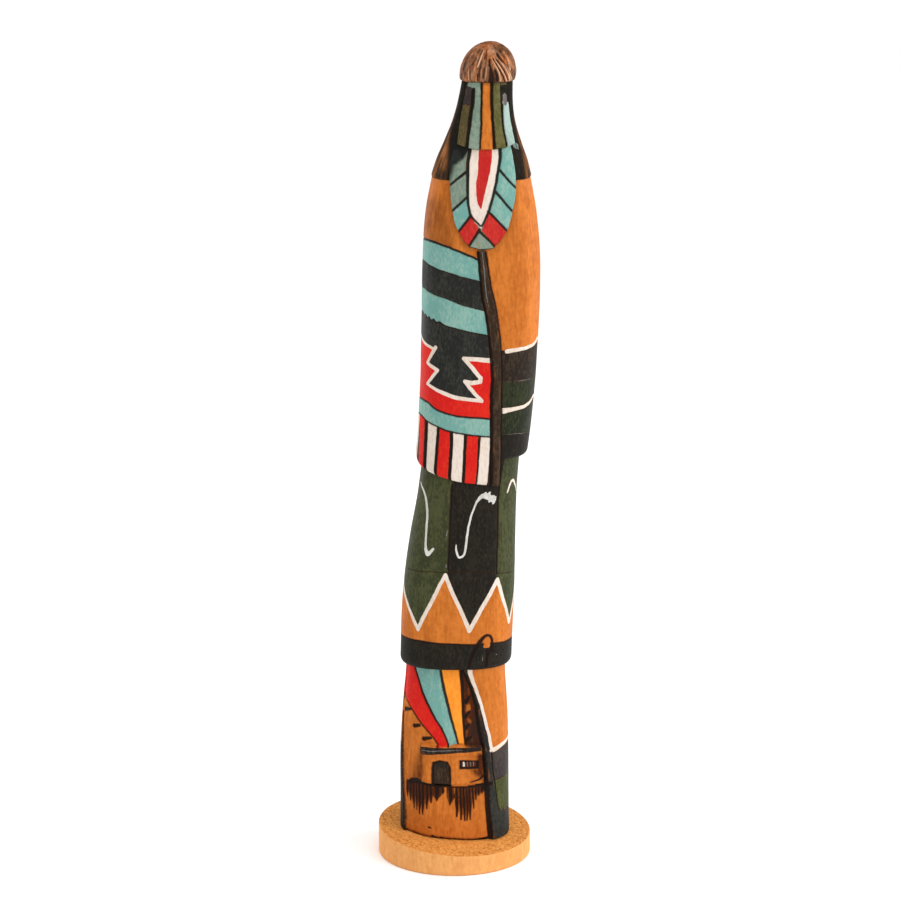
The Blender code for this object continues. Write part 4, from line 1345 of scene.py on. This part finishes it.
# Each paint: its colour, the colour where it is thin, how much that shows, and its gaps over the fibres.
COATS = {
    "turquoise": ((0.15, 0.34, 0.30), (0.27, 0.44, 0.37), 0.8, 0.12),
    "sage": ((0.155, 0.22, 0.165), (0.25, 0.31, 0.245), 0.8, 0.10),
    "aqua": ((0.38, 0.50, 0.45), (0.24, 0.35, 0.31), 0.7, 0.06),
    "yellow": ((0.93, 0.32, 0.032), (0.82, 0.21, 0.018), 0.6, 0.08),
    "red": ((0.60, 0.011, 0.008), (0.70, 0.030, 0.013), 0.6, 0.05),
    "crimson": ((0.47, 0.018, 0.017), (0.60, 0.045, 0.028), 0.6, 0.05),
    "green": ((0.034, 0.039, 0.015), (0.072, 0.078, 0.031), 0.8, 0.05),
    "leaf": ((0.044, 0.050, 0.013), (0.086, 0.094, 0.030), 0.8, 0.05),
    "olive": ((0.078, 0.062, 0.025), (0.145, 0.105, 0.043), 0.7, 0.08),
    "moss": ((0.092, 0.089, 0.028), (0.165, 0.140, 0.054), 0.8, 0.06),
    "bottle": ((0.012, 0.015, 0.0075), (0.034, 0.040, 0.017), 0.7, 0.05),
    "umber": ((0.016, 0.010, 0.007), (0.050, 0.032, 0.020), 0.7, 0.03),
    "border": ((0.029, 0.0155, 0.0080), (0.072, 0.045, 0.026), 0.8, 0.03),
    "plum": ((0.034, 0.027, 0.025), (0.066, 0.051, 0.043), 0.7, 0.05),
    "black": ((0.016, 0.017, 0.0145), (0.038, 0.039, 0.033), 0.7, 0.04),
    "ink": ((0.0105, 0.0088, 0.0062), (0.026, 0.0215, 0.0150), 0.6, 0.03),
    "slate_and_highlight": ((0.13, 0.12, 0.118), (0.20, 0.18, 0.165), 0.6, 0.05),
    "white": ((0.76, 0.66, 0.575), (0.64, 0.51, 0.41), 0.7, 0.02),
    "pale": ((0.68, 0.66, 0.62), (0.50, 0.48, 0.44), 0.7, 0.02),
}


def held(tree, name):
    """A value that the surface holds at each of its points."""
    return node(tree, "Attribute", attribute_name=name).outputs["Fac"]


def comb_hair(tree, brush, lock, colour):
    """Black locks on the hair, scraped back to the wood in patches at its sides."""
    on_hair = times(tree, lock, held(tree, "hair"))
    colour = mix(tree, times(tree, on_hair, 0.85), colour, HAIR_BLACK)
    scraped = times(tree, on_hair, held(tree, "scrape"), ramp(tree, brush["Patch"], 0.36, 0.52, 0.05, 1.0))
    return mix(tree, scraped, colour, HAIR_TAN)


def cap_colour(tree, brush, lock):
    """Brown strands of uneven tint, dark in the cuts between them and pale on some ridges."""
    tint = stretched_noise(tree, 210, (1, 1, 0.5), 3, 0.55)
    cap = mix(tree, ramp(tree, tint, 0.38, 0.5), CAP_BROWN, CAP_RIDGE)
    cap = mix(tree, ramp(tree, tint, 0.52, 0.6), cap, CAP_TINT)
    fine = stretched_noise(tree, 1300, (1, 1, 0.3), 3, 0.65)
    cap = mix(tree, ramp(tree, fine, 0.46, 0.62, 0.0, 0.7), cap, CAP_BROWN)
    cap = mix(tree, ramp(tree, lock, 0.1, 0.8), CAP_GROOVE, cap)
    ridge = ramp(tree, held(tree, "comb"), 0.88, 1.0)
    stray = times(tree, ridge, ramp(tree, brush["Patch"], 0.52, 0.66, 0.0, 0.35))
    glint = times(tree, held(tree, "glint"), ramp(tree, brush["Streak"], 0.3, 0.6, 0.55, 1.0))
    return mix(tree, calculate(tree, "MAXIMUM", stray, glint), cap, CAP_GLINT)


def paint_figure(piece):
    """Stained wood with scorch and painted shade, then each coat of paint, then grime, painted shade and
    burnt lines over them.
    """
    shader, tree = new_material(piece, "painted_cottonwood_root", STAINED_LIGHT, 0.6)
    shader.inputs["Specular IOR Level"].default_value = MATT
    grain = placed(tree, WOOD_GRAIN, {"Light": STAINED_LIGHT, "Dark": STAINED_DARK})
    brush = placed(tree, BRUSH, {})
    shared = {name: brush[name] for name in ("Streak", "Patch", "Speck", "Ragged")}
    # Scorch and painted shade brown the wood under the paint.
    streaky = ramp(tree, brush["Streak"], 0.2, 0.75, 1.0, 0.45)
    scorch = calculate(tree, "MULTIPLY", held(tree, "scorch"), streaky, clamp=True)
    colour = mix(tree, scorch, grain["Colour"], SCORCH_AND_SHADE_BROWN)
    rubbed = times(tree, held(tree, "worn"), ramp(tree, brush["Streak"], 0.5, 0.7, 0.0, 0.35))
    covered = 0.0
    for name, (full, thin, variation, gaps) in COATS.items():
        inputs = {"Under": colour, "Colour": full, "Thin": thin, "Distance": held(tree, name), "Worn": rubbed}
        coat = placed(tree, COAT, inputs | {"Variation": variation, "Gaps": gaps} | shared)
        colour = coat["Colour"]
        covered = calculate(tree, "MAXIMUM", covered, coat["Mask"])
    lock = times(tree, held(tree, "comb"), ramp(tree, brush["Streak"], 0.35, 0.7, 0.45, 1.0))
    colour = comb_hair(tree, brush, lock, colour)
    cap = cap_colour(tree, brush, lock)
    colour = mix(tree, held(tree, "cap"), colour, cap)
    # Grime and painted shade darken the paint.
    patchy = ramp(tree, brush["Patch"], 0.35, 0.6, 1.0, 0.6)
    grime = calculate(tree, "MULTIPLY", held(tree, "grime"), patchy, clamp=True)
    colour = mix(tree, grime, colour, GRIME_AND_SHADE)
    line = placed(tree, BURNT_LINE, {"Distance": held(tree, "burnt"), "Ragged": brush["Ragged"]})
    bare = calculate(tree, "SUBTRACT", 1.0, times(tree, covered, 0.55))
    colour = mix(tree, times(tree, line["Rim"], bare), colour, SCORCH_AND_SHADE_BROWN)
    colour = mix(tree, line["Core"], colour, BURNT)
    tree.links.new(colour, shader.inputs["Base Color"])
    rough = ramp(tree, brush["Patch"], 0.3, 0.7, 0.5, 0.72)
    rough = calculate(tree, "MAXIMUM", rough, times(tree, held(tree, "hair"), 0.95))
    tree.links.new(rough, shader.inputs["Roughness"])
    height = weighed(tree, (grain["Height"], 0.6), (brush["Speck"], 0.3), (brush["Streak"], 0.3))
    bump = node(tree, "Bump", {"Height": height, "Strength": 0.5, "Distance": 0.00012})
    tree.links.new(bump.outputs["Normal"], shader.inputs["Normal"])


# ---------------------------------------------------------------- round disc
DISC_EDGE, TOP_EDGE = 0.7, 0.5  # how far its lower and its upper edge are rounded
DISC_COLUMNS, QUICK_COLUMNS = 460, 96
PITS = ((0.9, 0.50, 0.35), (0.55, 0.52, 0.25))  # size of the lumps, where pits begin, depth in mm
SAWN_LIGHT, SAWN_DARK, PIT_COLOUR = (0.84, 0.41, 0.142), (0.59, 0.21, 0.050), (0.20, 0.055, 0.012)
TOP_LIGHT, TOP_DARK, HOLE_COLOUR = (0.78, 0.33, 0.078), (0.52, 0.160, 0.024), (0.09, 0.028, 0.007)


def disc_rings():
    """(radius, share of the way up to the top, height over that), from below its centre to above it."""
    radius = (DISC_HIGH.x - DISC_LOW.x) / 2
    rings = [(share * (radius - DISC_EDGE), 0, 0.0) for share in (0, 0.4, 0.8)]
    turns = [math.radians(degrees) for degrees in range(0, 91, 18)]
    rings += [(radius - DISC_EDGE * (1 - math.sin(t)), 0, DISC_EDGE * (1 - math.cos(t))) for t in turns]
    rings += [(radius, share, DISC_EDGE * (1 - 1.9 * share)) for share in np.linspace(0.12, 0.94, 10)]
    rings += [(radius - TOP_EDGE * (1 - math.cos(t)), 1, -TOP_EDGE * (1 - math.sin(t))) for t in turns]
    rings += [(inward, 1, 0.0) for inward in np.arange(radius - 0.9, 9, -0.38)]
    return rings + [(inward, 1, 0.0) for inward in (8.0, 5.0, 2.0, 0.0)]


def round_disc():
    """A sawn slice with pits in its top, more of them towards its rim, and a wall that is a little uneven."""
    rings = disc_rings()
    middle = (DISC_HIGH + DISC_LOW) / 2
    shape = unrolled_tube(rings, DISC_COLUMNS)
    at = np.array([vert.co[:] for vert in shape.verts])
    ring = np.clip(np.round(at[:, 2]).astype(int), 0, len(rings) - 1)
    radius, share, above = np.array(rings, float)[ring].T
    turn = np.arctan2(at[:, 1], at[:, 0])
    x, y = middle.x + radius * np.cos(turn), middle.y + radius * np.sin(turn)
    height = share * disc_top(x, y) + above
    points = np.stack([x, y, height], axis=1)
    crowded = 0.25 + 0.75 * eased(radius, 17, 27)
    pit = np.zeros(len(points))
    for seed, (size, begins, depth) in enumerate(PITS):
        lumps = 0.5 + 0.5 * noise_at(points * (1, 1, 0), size, seed + 20)
        pit = np.maximum(pit, depth * eased(1 - lumps, begins, begins + 0.22))
    flat = (share > 0.99) & (above > -0.2)
    points[:, 2] -= np.where(flat, pit * crowded, 0)
    wall = (share > 0.05) & (radius > 20)
    worn = np.where(wall, np.abs(noise_at(points, 2.2, 31) * 0.05 + noise_at(points, 0.8, 32) * 0.03), 0)
    points[:, 0] -= worn * np.cos(turn)
    points[:, 1] -= worn * np.sin(turn)
    for vert, point in zip(shape.verts, points):
        vert.co = point * MM
    close_up(shape)
    piece = as_object("round_disc_surface", shape)
    piece.data.shade_smooth()
    piece.data.set_sharp_from_angle(angle=math.radians(SHARP_SAWN))
    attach(piece, "root")
    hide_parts("round_base")
    finish_disc(piece)


def finish_disc(piece):
    """Pale sawn wood with fine fibres up its wall, and dark open pores on its top."""
    shader, tree = new_material(piece, "sawn_root_disc", SAWN_LIGHT, 0.75)
    shader.inputs["Specular IOR Level"].default_value = MATT
    grain = placed(tree, WOOD_GRAIN, {"Light": SAWN_LIGHT, "Dark": SAWN_DARK})
    colour = mix(tree, 0.45, grain["Colour"], SAWN_LIGHT)
    geometry = node(tree, "NewGeometry").outputs["Normal"]
    up = node(tree, "SeparateXYZ", {"Vector": geometry}).outputs["Z"]
    top = ramp(tree, up, 0.35, 0.8)
    at = node(tree, "SeparateXYZ", {"Vector": node(tree, "TexCoord").outputs["Object"]}).outputs
    squares = [calculate(tree, "POWER", at[axis], 2.0) for axis in "XY"]
    out = calculate(tree, "POWER", calculate(tree, "ADD", *squares), 0.5)
    near_rim = ramp(tree, out, 0.016, 0.027, 0.5, 1.0)
    pores = ramp(tree, stretched_noise(tree, 1500, (1, 1, 1), 3, 0.7), 0.54, 0.65)
    fine_holes = ramp(tree, stretched_noise(tree, 1100, (1, 1, 1), 3, 0.6), 0.62, 0.69, 0.0, 0.75)
    wide_holes = ramp(tree, stretched_noise(tree, 560, (1, 1, 1), 3, 0.6), 0.66, 0.70)
    holes = calculate(tree, "MAXIMUM", fine_holes, wide_holes)
    mottle = ramp(tree, stretched_noise(tree, 700, (1, 1, 1), 3, 0.6), 0.35, 0.65)
    end_grain = mix(tree, mottle, TOP_DARK, TOP_LIGHT)
    end_grain = mix(tree, 0.35, end_grain, TOP_LIGHT)
    pores = times(tree, pores, near_rim)
    end_grain = mix(tree, times(tree, pores, 0.72), end_grain, PIT_COLOUR)
    end_grain = mix(tree, times(tree, holes, near_rim, 0.9), end_grain, HOLE_COLOUR)
    colour = mix(tree, top, colour, end_grain)
    tree.links.new(colour, shader.inputs["Base Color"])
    height = calculate(tree, "SUBTRACT", grain["Height"], times(tree, pores, top))
    bump = node(tree, "Bump", {"Height": height, "Strength": 0.6, "Distance": 0.0002})
    tree.links.new(bump.outputs["Normal"], shader.inputs["Normal"])


# ---------------------------------------------------------------- everything together
camera()
studio()
carved_figure()
round_disc()
